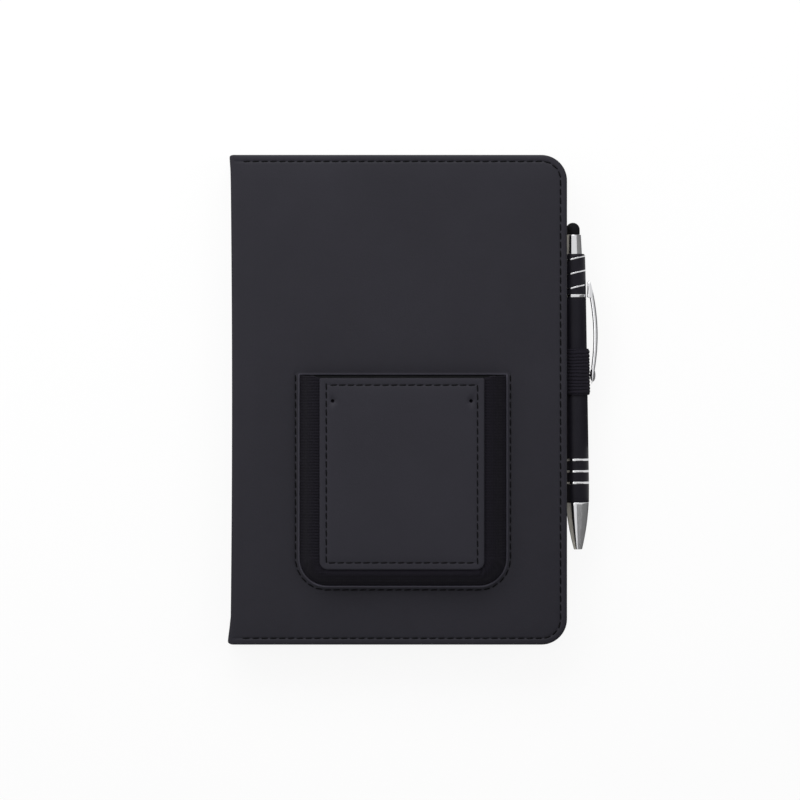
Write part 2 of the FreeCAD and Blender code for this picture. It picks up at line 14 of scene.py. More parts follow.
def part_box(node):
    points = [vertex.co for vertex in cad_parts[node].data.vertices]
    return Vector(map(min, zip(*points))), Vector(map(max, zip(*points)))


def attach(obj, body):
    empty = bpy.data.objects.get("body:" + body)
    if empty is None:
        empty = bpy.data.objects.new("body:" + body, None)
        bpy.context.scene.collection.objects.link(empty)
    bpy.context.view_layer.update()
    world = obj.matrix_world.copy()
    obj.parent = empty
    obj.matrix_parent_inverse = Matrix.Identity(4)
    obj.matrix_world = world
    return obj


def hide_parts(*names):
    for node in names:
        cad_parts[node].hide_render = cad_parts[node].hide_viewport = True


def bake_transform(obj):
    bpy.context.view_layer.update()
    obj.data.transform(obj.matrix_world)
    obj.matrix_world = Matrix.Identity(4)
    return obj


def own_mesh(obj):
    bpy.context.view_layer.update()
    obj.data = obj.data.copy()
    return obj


bl_info = {
    "name": "Pocket notebook",
    "version": (1, 0, 0),
    "blender": (4, 5, 0),
    "location": "View3D > Sidebar > Notebook",
    "description": "Builds the covers, pocket, pages and pen of a pocket notebook",
    "category": "Add Mesh",
}

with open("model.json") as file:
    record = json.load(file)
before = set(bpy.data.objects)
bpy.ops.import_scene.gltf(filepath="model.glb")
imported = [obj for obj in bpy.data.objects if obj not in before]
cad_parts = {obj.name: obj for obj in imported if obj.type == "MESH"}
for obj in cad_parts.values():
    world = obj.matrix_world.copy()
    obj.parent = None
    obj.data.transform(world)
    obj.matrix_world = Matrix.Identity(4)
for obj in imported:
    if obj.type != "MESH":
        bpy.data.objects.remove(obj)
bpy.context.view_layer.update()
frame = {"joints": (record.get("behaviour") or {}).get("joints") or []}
MM = 0.001
JOINTS = {joint["name"]: joint for joint in frame["joints"]}


def span(node):
    """A node's lowest and highest corners at rest, in millimetres."""
    low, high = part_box(node)
    return low / MM, high / MM


# The closed book: half its height, its fore edge, its thickness and a cover's thickness.
FRONT_LOW, FRONT_HIGH = span("front_skin")
HALF, EDGE, TOTAL = FRONT_HIGH.y, FRONT_HIGH.x, FRONT_HIGH.z
COVER = TOTAL - FRONT_LOW.z

# The hinge, the radius and length of the leather's bend round it, and the spine's middle
# on the flat pattern.
HINGE = Vector(JOINTS["cover_open"]["pos_m"]) / MM
BEND = TOTAL - HINGE.z
QUARTER = BEND * math.pi / 2
MIDDLE = HINGE.x - QUARTER - (HINGE.z - TOTAL / 2)

# The pen's axis, and the two ways square to it.
PEN_WAY = Vector(JOINTS["pen_slide"]["axis"]).normalized()
SIDE = Vector((PEN_WAY.y, -PEN_WAY.x, 0))
UP = Vector((0, 0, 1))


def number(label, value, description, **settings):
    """A number that the panel shows."""
    return bpy.props.FloatProperty(name=label, description=description, default=value, **settings)


def length(label, value, description):
    """A size given in millimetres, and kept in metres as Blender keeps it."""
    return number(label, value * MM, description, unit="LENGTH", precision=5)


def colour(label, value, description):
    """A material's colour, as linear light."""
    return bpy.props.FloatVectorProperty(
        name=label, description=description, default=value, size=3, subtype="COLOR", min=0, max=1
    )


class CoverSizes(bpy.types.PropertyGroup):
    """Sizes of the leather covers and their sewing."""

    corner: length("Corner radius", 11, "Radius of the covers' fore-edge corners")
    edge: length("Edge rounding", 1.05, "Rounding of the leather over the board's edge")
    under: length("Under rounding", 0.6, "Rounding of the leather's lower edge")
    turn_in: length("Turn-in", 4.5, "Width of the leather turned in on the inside")
    crown: length("Crown", 0.28, "How far the padding lifts the leather inside the seam")
    roll: length("Edge roll", 0.05, "How far the leather rises between its edge and the seam")
    waves: length("Waves", 0.05, "Height of the leather's slow waves")
    groove: length("Groove", 0.3, "Depth of the groove beside the hinge")
    groove_inset: length("Groove inset", 4, "From the hinge to its groove")
    seam_inset: length("Seam inset", 2.8, "From the cover's edge to the sewing")
    seam_depth: length("Seam depth", 0.26, "How deep the sewing draws the leather in")
    seam_reach: length("Seam reach", 0.5, "How far the dip reaches to either side of the sewing")
    hollow: length("Spine hollow", 0.7, "How far the spine's edge curves in at mid height")
    flare: length("Spine flare", 1.1, "How far the spine's foot stands out")
    head_flare: length("Head flare", 0.35, "How far the spine's head stands out")
    tuck: length("Spine tuck", 1.5, "How far the spine's ends are drawn in")
    window_left: length("Window left", 42.4, "Pocket window, left of the middle")
    window_right: length("Window right", 45.9, "Pocket window, right of the middle")
    window_top: length("Window top", 10.6, "Pocket window, above the middle")
    window_drop: length("Window drop", 79.6, "Pocket window, below the middle")
    window_corner: length("Window corner", 11.6, "Radius of the window's lower corners")
    window_seam: length("Window seam", 1.9, "From the window's edge to its sewing")
    window_lip: length("Window lip", 0.3, "How far the leather rises over the elastic's edge")
    lip_edge: length("Lip edge", 0.45, "Rounding of the leather round the window")


class ThreadSizes(bpy.types.PropertyGroup):
    """Sizes of the stitches."""

    pitch: length("Pitch", 3.8, "From one stitch to the next on the cover")
    patch_pitch: length("Patch pitch", 3.7, "From one stitch to the next on the patch")
    stitch: length("Stitch", 3.5, "Length of one stitch")
    width: length("Width", 0.56, "Width of the thread")
    height: length("Height", 0.34, "How far a stitch stands up")


class PocketSizes(bpy.types.PropertyGroup):
    """Sizes of the stretch pocket."""

    rib_pitch: length("Rib pitch", 1.25, "From one rib of the elastic to the next")
    rib_height: length("Rib height", 0.2, "Height of the elastic's ribs")
    thickness: length("Thickness", 0.8, "Thickness of the elastic")
    patch_corner: length("Patch corner", 3.5, "Radius of the patch's lower corners")
    patch_edge: length("Patch edge", 0.42, "Rounding of the patch's edge")
    patch_seam: length("Patch seam", 2.9, "From the patch's edge to its sewing")
    patch_dip: length("Patch dip", 0.17, "How deep the sewing draws the patch in")
    patch_crown: length("Patch crown", 0.22, "How far the patch rises inside its sewing")
    eyelet: length("Eyelet", 0.75, "Radius of the two small holes")
    eyelet_drop: length("Eyelet drop", 9.7, "From the patch's top to the holes")


class PenSizes(bpy.types.PropertyGroup):
    """Sizes of the click pen, along its axis from mid height, and of its loop."""

    line: length("Line", 76, "Where the pen's axis crosses mid height")
    barrel: length("Barrel radius", 5.2, "Radius of the barrels")
    wall: length("Barrel wall", 1, "Thickness of the barrels")
    collar: length("Collar", 10, "Depth of the wider bore at the barrel's top")
    collar_bore: length("Collar bore", 4.1, "Radius of the bore round the plunger")
    nose_root: length("Nose root", 4.95, "Radius of the nose beside the barrel")
    nose_tip: length("Nose tip", 1.9, "Radius of the nose at its end")
    nose_bulge: length("Nose bulge", 0.46, "How far the nose's sides swell out")
    nose_bore: length("Nose bore", 1.45, "Radius of the hole for the refill's point")
    band_slope: number(
        "Band slope", math.radians(12.8), "Lean of the three upper rings", subtype="ANGLE"
    )
    band_pitch: length("Band pitch", 6.2, "From one upper ring to the next")
    ring_pitch: length("Ring pitch", 4.95, "From one lower ring to the next")
    ring_proud: length("Ring height", 0.12, "How far a ring stands out of the barrel")
    plunger: length("Plunger radius", 3.8, "Radius of the plunger in the barrel")
    plunger_top: length("Plunger top", 3.5, "Radius of the plunger at the stylus")
    stylus: length("Stylus radius", 2.95, "Radius of the rubber tip")
    spring_wire: length("Spring wire", 0.2, "Radius of the spring's wire")
    clip_face: length("Clip face", 7.05, "From the pen's axis to the clip's face at its ends")
    clip_width: length("Clip width", 4.4, "Width of the clip at its middle")
    clip_bow: length("Clip bow", 2.85, "How far the clip bows out at its middle")
    clip_arch: length("Clip arch", 1.2, "How far the clip's underside arches at its middle")
    loop_rib: length("Loop rib pitch", 1.42, "From one rib of the loop to the next")
    rib_swell: length("Loop rib height", 0.35, "How far a rib of the loop swells out")


class Finishes(bpy.types.PropertyGroup):
    """Colours of the notebook's materials."""

    leather: colour("Leather", (0.0198, 0.0191, 0.0248), "Covers, spine and patch")
    elastic: colour("Elastic", (0.0079, 0.0071, 0.0105), "Pocket and pen loop")
    thread: colour("Thread", (0.0015, 0.0015, 0.002), "Sewing")
    lining: colour("Lining", (0.015, 0.015, 0.017), "Cloth inside the covers")
    paper: colour("Paper", (0.80, 0.765, 0.67), "Pages and loose sheets")
    lacquer: colour("Lacquer", (0.0086, 0.0079, 0.0118), "Pen barrels")
    chrome: colour("Chrome", (0.66, 0.66, 0.675), "Nose, plunger, rings and clip")
    rubber: colour("Rubber", (0.0066, 0.0066, 0.008), "Stylus tip")
    grain: number(
        "Leather grain", 0.35, "Strength of the grain", min=0.0, max=1.0, subtype="FACTOR"
    )


GROUPS = {
    "notebook_cover": CoverSizes,
    "notebook_thread": ThreadSizes,
    "notebook_pocket": PocketSizes,
    "notebook_pen": PenSizes,
    "notebook_finish": Finishes,
}


class Sizes:
    """A property group's numbers by name, its lengths in millimetres."""

    def __init__(self, context, group):
        held = getattr(context.scene, group)
        for key in GROUPS[group].__annotations__:
            unit = MM if held.bl_rna.properties[key].unit == "LENGTH" else 1
            setattr(self, key, getattr(held, key) / unit)


# materials


class Graph:
    """Adds nodes to a material or a world, and wires each in one line."""

    def __init__(self, tree):
        self.tree, self.surface = tree, tree.nodes.get("Principled BSDF")

    @cached_property
    def place(self):
        """The piece's own coordinates."""
        return self.node("ShaderNodeTexCoord").outputs["Object"]

    def wire(self, value, socket):
        """Leads another node's output, or a plain value, to a socket."""
        if isinstance(value, bpy.types.NodeSocket):
            self.tree.links.new(value, socket)
        else:
            socket.default_value = value

    def node(self, kind, settings=(), **wires):
        """A node, its inputs given by name, or by number as i0, i1 and i2."""
        made = self.tree.nodes.new(kind)
        for key, value in dict(settings).items():
            setattr(made, key, value)
        for key, value in wires.items():
            self.wire(value, made.inputs[int(key[1]) if key in ("i0", "i1", "i2") else key])
        return made

    def texture(self, kind, output, settings=(), vector=None, **wires):
        """A texture's output, on the piece's own coordinates unless a vector is given."""
        place = vector or self.place
        return self.node(f"ShaderNodeTex{kind}", settings, Vector=place, **wires).outputs[output]

    def noise(self, scale, detail=3.0, roughness=0.55, vector=None):
        wires = {"Scale": scale, "Detail": detail, "Roughness": roughness}
        return self.texture("Noise", "Fac", vector=vector, **wires)

    def waves(self, scale, direction):
        return self.texture("Wave", "Fac", {"bands_direction": direction}, Scale=scale)

    def stretched(self, x, y, z):
        """The piece's own coordinates, with these scales per metre."""
        return self.node("ShaderNodeMapping", Vector=self.place, Scale=(x, y, z)).outputs[0]

    def math(self, operation, a, b=0.0):
        return self.node("ShaderNodeMath", {"operation": operation}, i0=a, i1=b).outputs[0]

    def ranged(self, value, low, high, to_low, to_high):
        """A value mapped from one range to another."""
        ends = {"From Min": low, "From Max": high, "To Min": to_low, "To Max": to_high}
        return self.node("ShaderNodeMapRange", Value=value, **ends).outputs["Result"]

    def with_wear(self, factor, share):
        """This share of a factor, and on it the painted light that the piece's points hold: painted
        highlights, and lighter tone where shade is lifted.
        """
        painted_light_fac = self.node("ShaderNodeAttribute", {"attribute_name": "painted_light"}).outputs["Fac"]
        return self.math("ADD", self.math("MULTIPLY", factor, share), painted_light_fac)

    def tint(self, factor, shade, low, high):
        """The base colour, from one tone of the shade to another as the factor grows."""
        ramp = self.node("ShaderNodeValToRGB", Fac=factor)
        for stop, by in zip(ramp.color_ramp.elements, (low, high)):
            stop.color = (*toned(shade, by), 1)
        self.wire(ramp.outputs["Color"], self.surface.inputs["Base Color"])

    def roughness(self, factor, low, high):
        self.wire(self.ranged(factor, 0.3, 0.7, low, high), self.surface.inputs["Roughness"])

    def bump(self, *layers):
        """Bumps, each (height, distance in millimetres, strength), one over the other."""
        under = {}
        for height, distance, strength in layers:
            wires = {"Height": height, "Distance": distance * MM, "Strength": strength}
            under = {"Normal": self.node("ShaderNodeBump", **wires, **under).outputs["Normal"]}
        self.wire(under["Normal"], self.surface.inputs["Normal"])


def toned(shade, by):
    """A shade this many times as bright."""
    return tuple(min(part * by, 1) for part in shade)


def shader(name, shade, **sockets):
    """The material of this name, and its graph to build on if it is new."""
    material = bpy.data.materials.get(name)
    if material:
        return material, None
    material = bpy.data.materials.new(name)
    material.use_nodes = True
    graph = Graph(material.node_tree)
    for socket, value in {"Base_Color": (*shade, 1), **sockets}.items():
        graph.surface.inputs[socket.replace("_", " ")].default_value = value
    return material, graph


def leather_material(finish):
    """Smooth grained leather with pores, faint clouds of tone and a soft sheen."""
    sockets = {"Roughness": 0.5, "Specular_IOR_Level": 0.1}
    material, graph = shader("smooth_leather", finish.leather, **sockets)
    if graph:
        clouds = graph.noise(28, 4)
        # Clouds of tone, with the points' painted light on top: a painted highlight round the
        # window's lip, and the raised patch painted a little lighter.
        graph.tint(graph.with_wear(clouds, 0.1), finish.leather, 0.86, 4.0)
        graph.roughness(graph.noise(140, 4), 0.48, 0.54)
        stray = graph.texture("Noise", "Color", Scale=900.0)
        adding, scaling = {"operation": "ADD"}, {"operation": "SCALE"}
        stray = graph.node("ShaderNodeVectorMath", scaling, i0=stray, Scale=0.0006).outputs[0]
        warped = graph.node("ShaderNodeVectorMath", adding, i0=graph.place, i1=stray).outputs[0]
        pores = graph.texture("Voronoi", "Distance", vector=warped, Scale=1500)
        grain = finish.grain
        graph.bump((clouds, 0.5, 0.08), (pores, 0.05, grain), (graph.noise(4200), 0.02, grain))
    return material


def elastic_material(finish):
    """Woven elastic: crossed yarns on the ribs, matte with a little sheen."""
    sockets = {"Roughness": 0.9, "Specular_IOR_Level": 0.08}
    sheen = {"Sheen_Weight": 0.015, "Sheen_Roughness": 0.6}
    material, graph = shader("woven_elastic", finish.elastic, **sockets, **sheen)
    if graph:
        yarn = graph.math("MULTIPLY", graph.waves(420, "X"), graph.waves(620, "Y"))
        # The yarns' tone, with the points' painted light on top: painted highlights on the rib
        # crests, and lighter tone below the window where the raised front shades it.
        graph.tint(graph.with_wear(yarn, 0.2), finish.elastic, 0.4, 3.0)
        graph.bump((yarn, 0.1, 0.6), (graph.noise(3500, 2), 0.05, 0.4))
    return material


def thread_material(finish):
    """Twisted thread."""
    sockets = {"Roughness": 0.62, "Specular_IOR_Level": 0.08}
    material, graph = shader("twisted_thread", finish.thread, **sockets)
    if graph:
        twist = graph.waves(700, "DIAGONAL")
        graph.tint(twist, finish.thread, 0.7, 1.9)
        graph.bump((twist, 0.12, 0.7))
    return material


def cloth_material(name, shade, count=500):
    """Plain woven cloth; the count sets how fine the weave is."""
    material, graph = shader(name, shade, Roughness=0.9, Specular_IOR_Level=0.2)
    if graph:
        weave = graph.math("ADD", graph.waves(count, "X"), graph.waves(count, "Y"))
        graph.tint(graph.math("MULTIPLY", weave, 0.5), shade, 0.75, 1.2)
        graph.bump((weave, 0.08, 0.5))
    return material


def paper_material(name, shade, layered=False):
    """Uncoated paper: soft fibres on its face, and leaf lines where a block shows."""
    material, graph = shader(name, shade, Roughness=0.86, Specular_IOR_Level=0.25)
    if graph:
        tone = fibres = graph.noise(650, 5, 0.6)
        layers = [(fibres, 0.03, 0.3)]
        if layered:
            leaves = graph.noise(1, 2, 0.7, graph.stretched(60, 60, 5200))
            normal = graph.node("ShaderNodeTexCoord").outputs["Normal"]
            upright = graph.node("ShaderNodeSeparateXYZ", Vector=normal).outputs["Z"]
            side = graph.math("SUBTRACT", 1.0, graph.math("ABSOLUTE", upright))
            leaves = graph.math("MULTIPLY", graph.math("SUBTRACT", leaves, 0.5), side)
            tone = graph.math("ADD", graph.math("MULTIPLY", fibres, 0.5), leaves)
            tone = graph.math("ADD", tone, 0.25)
            layers.append((leaves, 0.12, 0.6))
        graph.tint(graph.ranged(tone, 0.35, 0.65, 0, 1), shade, 0.88, 1.07)
        graph.bump(*layers)
    return material


def lacquer_material(finish):
    """Satin lacquer on the pen's barrels."""
    sockets = {"Roughness": 0.42, "Specular_IOR_Level": 0.11}
    material, graph = shader("satin_lacquer", finish.lacquer, **sockets)
    if graph:
        graph.tint(graph.noise(160), finish.lacquer, 0.85, 1.15)
        graph.roughness(graph.noise(500, 4), 0.38, 0.48)
        graph.bump((graph.noise(2600, 2), 0.02, 0.15))
    return material


def metal_material(name, shade, rough, lines=0.0):
    """Plated or drawn metal, with faint turning lines along the pen."""
    material, graph = shader(name, shade, Metallic=1.0, Roughness=rough)
    if graph:
        haze = graph.noise(320, 4)
        graph.tint(haze, shade, 0.94, 1.04)
        graph.roughness(haze, max(rough - 0.04, 0.02), rough + 0.07)
        if lines:
            graph.bump((graph.noise(1, 2, 0.6, graph.stretched(40, 9000, 40)), 0.01, lines))
    return material


def chrome_material(finish):
    """The bright plate that the pen's nose, rings, plunger and clip share."""
    return metal_material("bright_chrome_plate", finish.chrome, 0.09)


def moulded_material(name, shade, rough, **sockets):
    """Moulded plastic or rubber with a faint skin."""
    material, graph = shader(name, shade, Roughness=rough, **sockets)
    if graph:
        graph.tint(graph.noise(300), shade, 0.85, 1.15)
        graph.bump((graph.noise(1800), 0.03, 0.3))
    return material


# shapes: points are in millimetres until a piece is made


def new_piece(name, points, faces, material):
    """A smooth piece whose normals agree, from points in millimetres."""
    mesh = bpy.data.meshes.new(name)
    mesh.from_pydata([Vector(point) * MM for point in points], [], faces)
    mesh.validate()
    shape = bmesh.new()
    shape.from_mesh(mesh)
    bmesh.ops.recalc_face_normals(shape, faces=shape.faces)
    shape.to_mesh(mesh)
    shape.free()
    mesh.polygons.foreach_set("use_smooth", [True] * len(mesh.polygons))
    mesh.materials.append(material)
    return placed(name, mesh)


def placed(name, mesh):
    """A mesh as a piece of the scene."""
    piece = bpy.data.objects.new(name, mesh)
    bpy.context.scene.collection.objects.link(piece)
    return piece


def carried(piece, body, *nodes):
    """A piece that rides on a body and stands for these nodes."""
    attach(piece, body)
    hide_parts(*nodes)


def painted_light(piece, shares):
    """How far painted light on each point lightens the piece's material: painted highlights, and
    lighter tone where shade is lifted.
    """
    made = piece.data.attributes.new("painted_light", "FLOAT", "POINT")
    made.data.foreach_set("value", shares)


def facing(piece, way):
    """Turns a piece inside out if its last face looks against this way along Z."""
    if piece.data.polygons[-1].normal.z * way < 0:
        piece.data.flip_normals()


def at(x, z):
    """A place beside the book's middle, in metres."""
    return Vector((x, 0, z)) * MM


def clamped(value):
    """The value, kept between 0 and 1."""
    return min(max(value, 0.0), 1.0)


def smooth_step(value, width=1.0):
    """Grows softly from 0 to 1 while the value goes from 0 to this width."""
    value = clamped(value / width)
    return value * value * (3 - 2 * value)


def bell(value, width):
    """A soft bump, 1 at 0 and falling off to both sides."""
    return math.exp(-((value / width) ** 2))


def dome(share):
    """The height of a quarter circle, from 0 at its edge to 1 at share 1."""
    return math.sqrt(max(1 - (1 - share) ** 2, 0.0))


def bow(share):
    """The height of an arch, 0 at shares 0 and 1 and 1 halfway."""
    return 4 * share * (1 - share)


def blended(low, high, share):
    """The value this share of the way from low to high."""
    return low + (high - low) * share


def parts(start, end, count):
    """Even stations from start to end, both ends included."""
    return [blended(start, end, i / count) for i in range(count + 1)]


def stations(start, end, gap):
    """Even stations about a gap apart, both ends included."""
    return parts(start, end, max(1, round(abs(end - start) / gap)))


def circle(count):
    """The cosine and sine of even turns round a circle."""
    turns = [math.tau * i / count for i in range(count)]
    return [(math.cos(a), math.sin(a)) for a in turns]


def arc(centre, radius, start, end, count):
    """Points round a centre between two angles in degrees, the ends left out."""
    turns = [math.radians(a) for a in parts(start, end, count)[1:-1]]
    return [(centre[0] + radius * math.cos(a), centre[1] + radius * math.sin(a)) for a in turns]


def rounding(radius, count=5):
    """Rows (inset, depth) over a rounded edge, from the face down to the side."""
    turns = parts(0, math.pi / 2, count)
    return [(radius * (1 - math.sin(a)), radius * (1 - math.cos(a))) for a in turns]


def cup_path(left, right, top, drop, corner, gap, bottom_gap=2.0, turns=12):
    """Down the left side, round the bottom and up the right side, open at the top."""
    low = -drop + corner
    path = [(-left, v) for v in stations(top, low, gap)]
    path += arc((corner - left, low), corner, 180, 270, turns)
    path += [(u, -drop) for u in stations(corner - left, right - corner, bottom_gap)]
    path += arc((right - corner, low), corner, 270, 360, turns)
    return path + [(right, v) for v in stations(low, top, gap)]


def resampled(path, pitch):
    """Points and directions at an even pitch along a path, centred on it."""
    lengths = [0.0]
    for a, b in zip(path, path[1:]):
        lengths.append(lengths[-1] + math.dist(a, b))
    count = round(lengths[-1] / pitch)
    pitch = lengths[-1] / count
    made, i = [], 0
    for along in (pitch * (k + 0.5) for k in range(count)):
        while lengths[i + 1] < along:
            i += 1
        share = (along - lengths[i]) / (lengths[i + 1] - lengths[i])
        a, b = path[i], path[i + 1]
        point = (blended(a[0], b[0], share), blended(a[1], b[1], share))
        made.append((point, math.atan2(b[1] - a[1], b[0] - a[0])))
    return made


def inside(u, v, loop):
    """Whether a point lies within a closed loop."""
    within = False
    for a, b in zip(loop, loop[1:] + loop[:1]):
        if (a[1] > v) != (b[1] > v) and u < a[0] + (v - a[1]) * (b[0] - a[0]) / (b[1] - a[1]):
            within = not within
    return within


class Form:
    """Gathers the points and faces of a piece."""

    def __init__(self):
        self.points, self.faces = [], []

    def tube(self, rings):
        """Joins rings of equally many points one to the next, and caps both ends."""
        first, around = len(self.points), len(rings[0])
        for ring in rings:
            self.points += ring
        last = len(self.points) - around
        for start in range(first, last, around):
            for k in range(around):
                a, b = start + k, start + (k + 1) % around
                self.faces.append((a, b, b + around, a + around))
        self.faces += [[start + k for k in range(around)] for start in (first, last)]

    def piece(self, name, material, slot):
        return new_piece(name, self.points, self.faces, material)


class Pattern(Form):
    """A flat pattern of points (u, v, depth) and faces, later laid on the object."""

    def row(self, path, depth):
        """Adds a path's points at one depth; gives their numbers."""
        first = len(self.points)
        self.points += [(u, v, depth) for u, v in path]
        return list(range(first, len(self.points)))

    def rows(self, paths, closed=False):
        """
        Strips of faces between (path, depth) rows; gives the last row.

        No row is longer than the one before it, and its last point takes what is over.
        """
        last = None
        for path, depth in paths:
            row = self.row(path, depth)
            if last:
                for i in range(len(last) if closed else len(last) - 1):
                    j = (i + 1) % len(last)
                    near, far = row[min(i, len(row) - 1)], row[min(j, len(row) - 1)]
                    self.faces.append(tuple(dict.fromkeys((last[i], last[j], far, near))))
            last = row
        return last

    def fill(self, border, holes=(), grid=()):
        """Covers the inside of a border, outside its holes, through the grid's points."""
        kept = [i for loop in (border, *holes) for i in loop]
        spots = [Vector(self.points[i][:2]) for i in kept] + [Vector(p) for p in grid]
        edges, start = [], 0
        for loop in (border, *holes):
            edges += [(start + i, start + (i + 1) % len(loop)) for i in range(len(loop))]
            start += len(loop)
        only_inside, nearest = 1, 1e-5
        made, _, faces, origins, _, _ = delaunay_2d_cdt(spots, edges, [], only_inside, nearest)
        index = []
        for place, sources in zip(made, origins):
            known = [kept[s] for s in sources if s < len(kept)]
            if not known:
                known = [len(self.points)]
                self.points.append((place.x, place.y, 0.0))
            index.append(known[0])
        gaps = [[self.points[i] for i in hole] for hole in holes]
        for face in faces:
            middle = sum((made[i] for i in face), Vector((0, 0))) / len(face)
            if not any(inside(*middle, gap) for gap in gaps):
                self.faces.append([index[i] for i in face])

    def laid(self, name, place, material, slot):
        """The piece, with each point put where place(u, v, depth) says."""
        return new_piece(name, [place(*p) for p in self.points], self.faces, material)


def flat(insets):
    """Rows (inset, depth) on the face."""
    return [(inset, 0) for inset in insets]


def sewn(context, name, path, pitch, place, body, up=1.0):
    """A row of stitches that dip into their holes at both ends, and ride on a body."""
    thread, form = Sizes(context, "notebook_thread"), Form()
    half, wide, tall = thread.stitch / 2, thread.width / 2, thread.height
    lean, dip = 0.05, 0.3
    for (u, v), turn in resampled(path, pitch):
        turn += lean
        rings = []
        for s in parts(-1, 1, 6):
            full = max(1 - abs(s) ** 3.5, 0.02) ** 0.5
            ring = []
            for cos, sin in circle(8):
                side = wide * full * cos
                x = u + s * half * math.cos(turn) - side * math.sin(turn)
                y = v + s * half * math.sin(turn) + side * math.cos(turn)
                stands = tall * full * sin * 0.9 + 0.05 - dip * s**6
                ring.append(Vector(place(x, y, 0)) + UP * up * stands)
            rings.append(ring)
        form.tube(rings)
    material = thread_material(context.scene.notebook_finish)
    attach(form.piece(name, material, "leather_black"), body)


# covers


class Cover(Sizes):
    """Places the pattern of a leather cover and half the spine on the closed book."""

    def __init__(self, context, windowed):
        super().__init__(context, "notebook_cover")
        self.windowed = windowed

    def across(self):
        """Stations from the spine's middle to the fore edge's corner."""
        near, far = HINGE.x - QUARTER - 1, HINGE.x + 1
        spine = stations(MIDDLE, near, 2)[:-1] + stations(near, far, 0.3)[:-1]
        return spine + stations(far, EDGE - self.corner, 3)

    def path(self, inset):
        """From the spine's middle round the three sewn sides and back."""
        centre, radius = EDGE - self.corner, max(self.corner - inset, 0.5)
        low, high = inset - HALF, HALF - inset
        ends = HALF - self.corner
        path = [(u, low) for u in self.across()]
        path += arc((centre, -ends), radius, 270, 360, 14)
        path += [(EDGE - inset, v) for v in stations(-ends, ends, 2.5)]
        path += arc((centre, ends), radius, 0, 90, 14)
        return path + [(u, high) for u in reversed(self.across())]

    def cup(self, out, raised, gap):
        """The window's sides and foot, moved out over the leather."""
        left, right = self.window_left + out, self.window_right + out
        drop, corner = self.window_drop + out, self.window_corner + out
        return cup_path(left, right, self.window_top + raised, drop, corner, gap)

    def window(self, out):
        """The window's whole edge, moved out over the leather."""
        left, right, top = -self.window_left, self.window_right, self.window_top
        path = self.cup(out, 0, 2.5) + arc((right, top), out, 0, 90, 5)
        path += [(u, top + out) for u in stations(right, left, 3)]
        return path + arc((left, top), out, 90, 180, 5)

    def from_edge(self, u, v):
        """How far a point lies within the three sewn sides."""
        du, dv = u - (EDGE - self.corner), abs(v) - (HALF - self.corner)
        if du > 0 and dv > 0:
            return self.corner - math.hypot(du, dv)
        return min(EDGE - u, HALF - abs(v))

    def from_window(self, u, v):
        """How far a point lies outside the pocket's window."""
        du = max(-self.window_left - u, u - self.window_right)
        dv = max(-self.window_drop - v, v - self.window_top)
        cu, cv = du + self.window_corner, self.window_corner - self.window_drop - v
        if cu > 0 and cv > 0:
            return math.hypot(cu, cv) - self.window_corner
        return math.hypot(max(du, 0), max(dv, 0)) if max(du, dv) > 0 else max(du, dv)

    def lift(self, u, v):
        """How far padding and sewing move the leather out from flat."""
        inner, past = self.from_edge(u, v), u - HINGE.x
        held = smooth_step(past, 2)
        rise = self.crown * smooth_step(inner - self.seam_inset, 6)
        rise += self.roll * math.sin(math.pi * clamped((inner - 1) / (self.seam_inset - 1)))
        rise -= self.groove * bell(past - self.groove_inset, 2)
        dip = bell(inner - self.seam_inset, self.seam_reach) * held
        if self.windowed:
            out, below = self.from_window(u, v), self.window_top - v
            rise *= 0.3 + 0.7 * smooth_step(out, 5)
            rise += self.window_lip * (1 - smooth_step(out, 1.6)) * smooth_step(below + 1, 3)
            dip += bell(out - self.window_seam, self.seam_reach) * smooth_step(below + 2, 1.5)
        wave = self.waves * noise.noise((u / 34, v / 34, 3.0 if self.windowed else 9.0))
        return (rise + wave * held) * held - self.seam_depth * dip

    def thickness(self, u):
        """The cover is thinnest where it bends round the hinge."""
        past = u - HINGE.x
        bend = min(smooth_step(1.6 - past, 1.2), smooth_step(past + 4, 1.2))
        return blended(COVER, BEND - 0.2, bend)

    def place(self, u, v, depth):
        """A pattern point on the book, with its depth below the leather's face."""
        turn = (HINGE.x - u) / BEND
        if turn <= 0:
            x, z, out = u, TOTAL, (0.0, 1.0)
        elif turn < math.pi / 2:
            out = (-math.sin(turn), math.cos(turn))
            x, z = HINGE.x + BEND * out[0], HINGE.z + BEND * out[1]
        else:
            x, z, out = HINGE.x - BEND, HINGE.z - (HINGE.x - QUARTER - u), (-1.0, 0.0)
        foot, head = smooth_step(13 - v - HALF, 13), smooth_step(v - HALF + 9, 9)
        bulge = self.hollow * (1 - (v / HALF) ** 2) - self.flare * foot - self.head_flare * head
        x += smooth_step(HINGE.x + 9 - u, 10) * bulge
        rim = clamped((HINGE.x + 1 - x) / 4.3) * smooth_step(abs(v) - HALF + 5, 5)
        v -= math.copysign(self.tuck * rim**3, v)
        deep = depth * self.thickness(u) / COVER
        deep -= self.lift(u, v) * max(0.0, 1 - depth / self.edge)
        z -= out[1] * deep
        return (x - out[0] * deep, v, z if self.windowed else TOTAL - z)

    def grid(self, inner):
        """Points this far inside the edge, and clear of the window."""
        across = self.across()[1:] + stations(EDGE - self.corner, EDGE - inner, 4)[1:]
        points = [(u, v) for u in across for v in stations(inner - HALF, HALF - inner, 4)]
        points = [point for point in points if self.from_edge(*point) > inner]
        return [p for p in points if not (self.windowed and self.from_window(*p) < 6.5)]

    def build(self, name, material):
        """The leather: its face, rounded edges and the turn-in behind."""
        seam, inner = self.seam_inset, 7
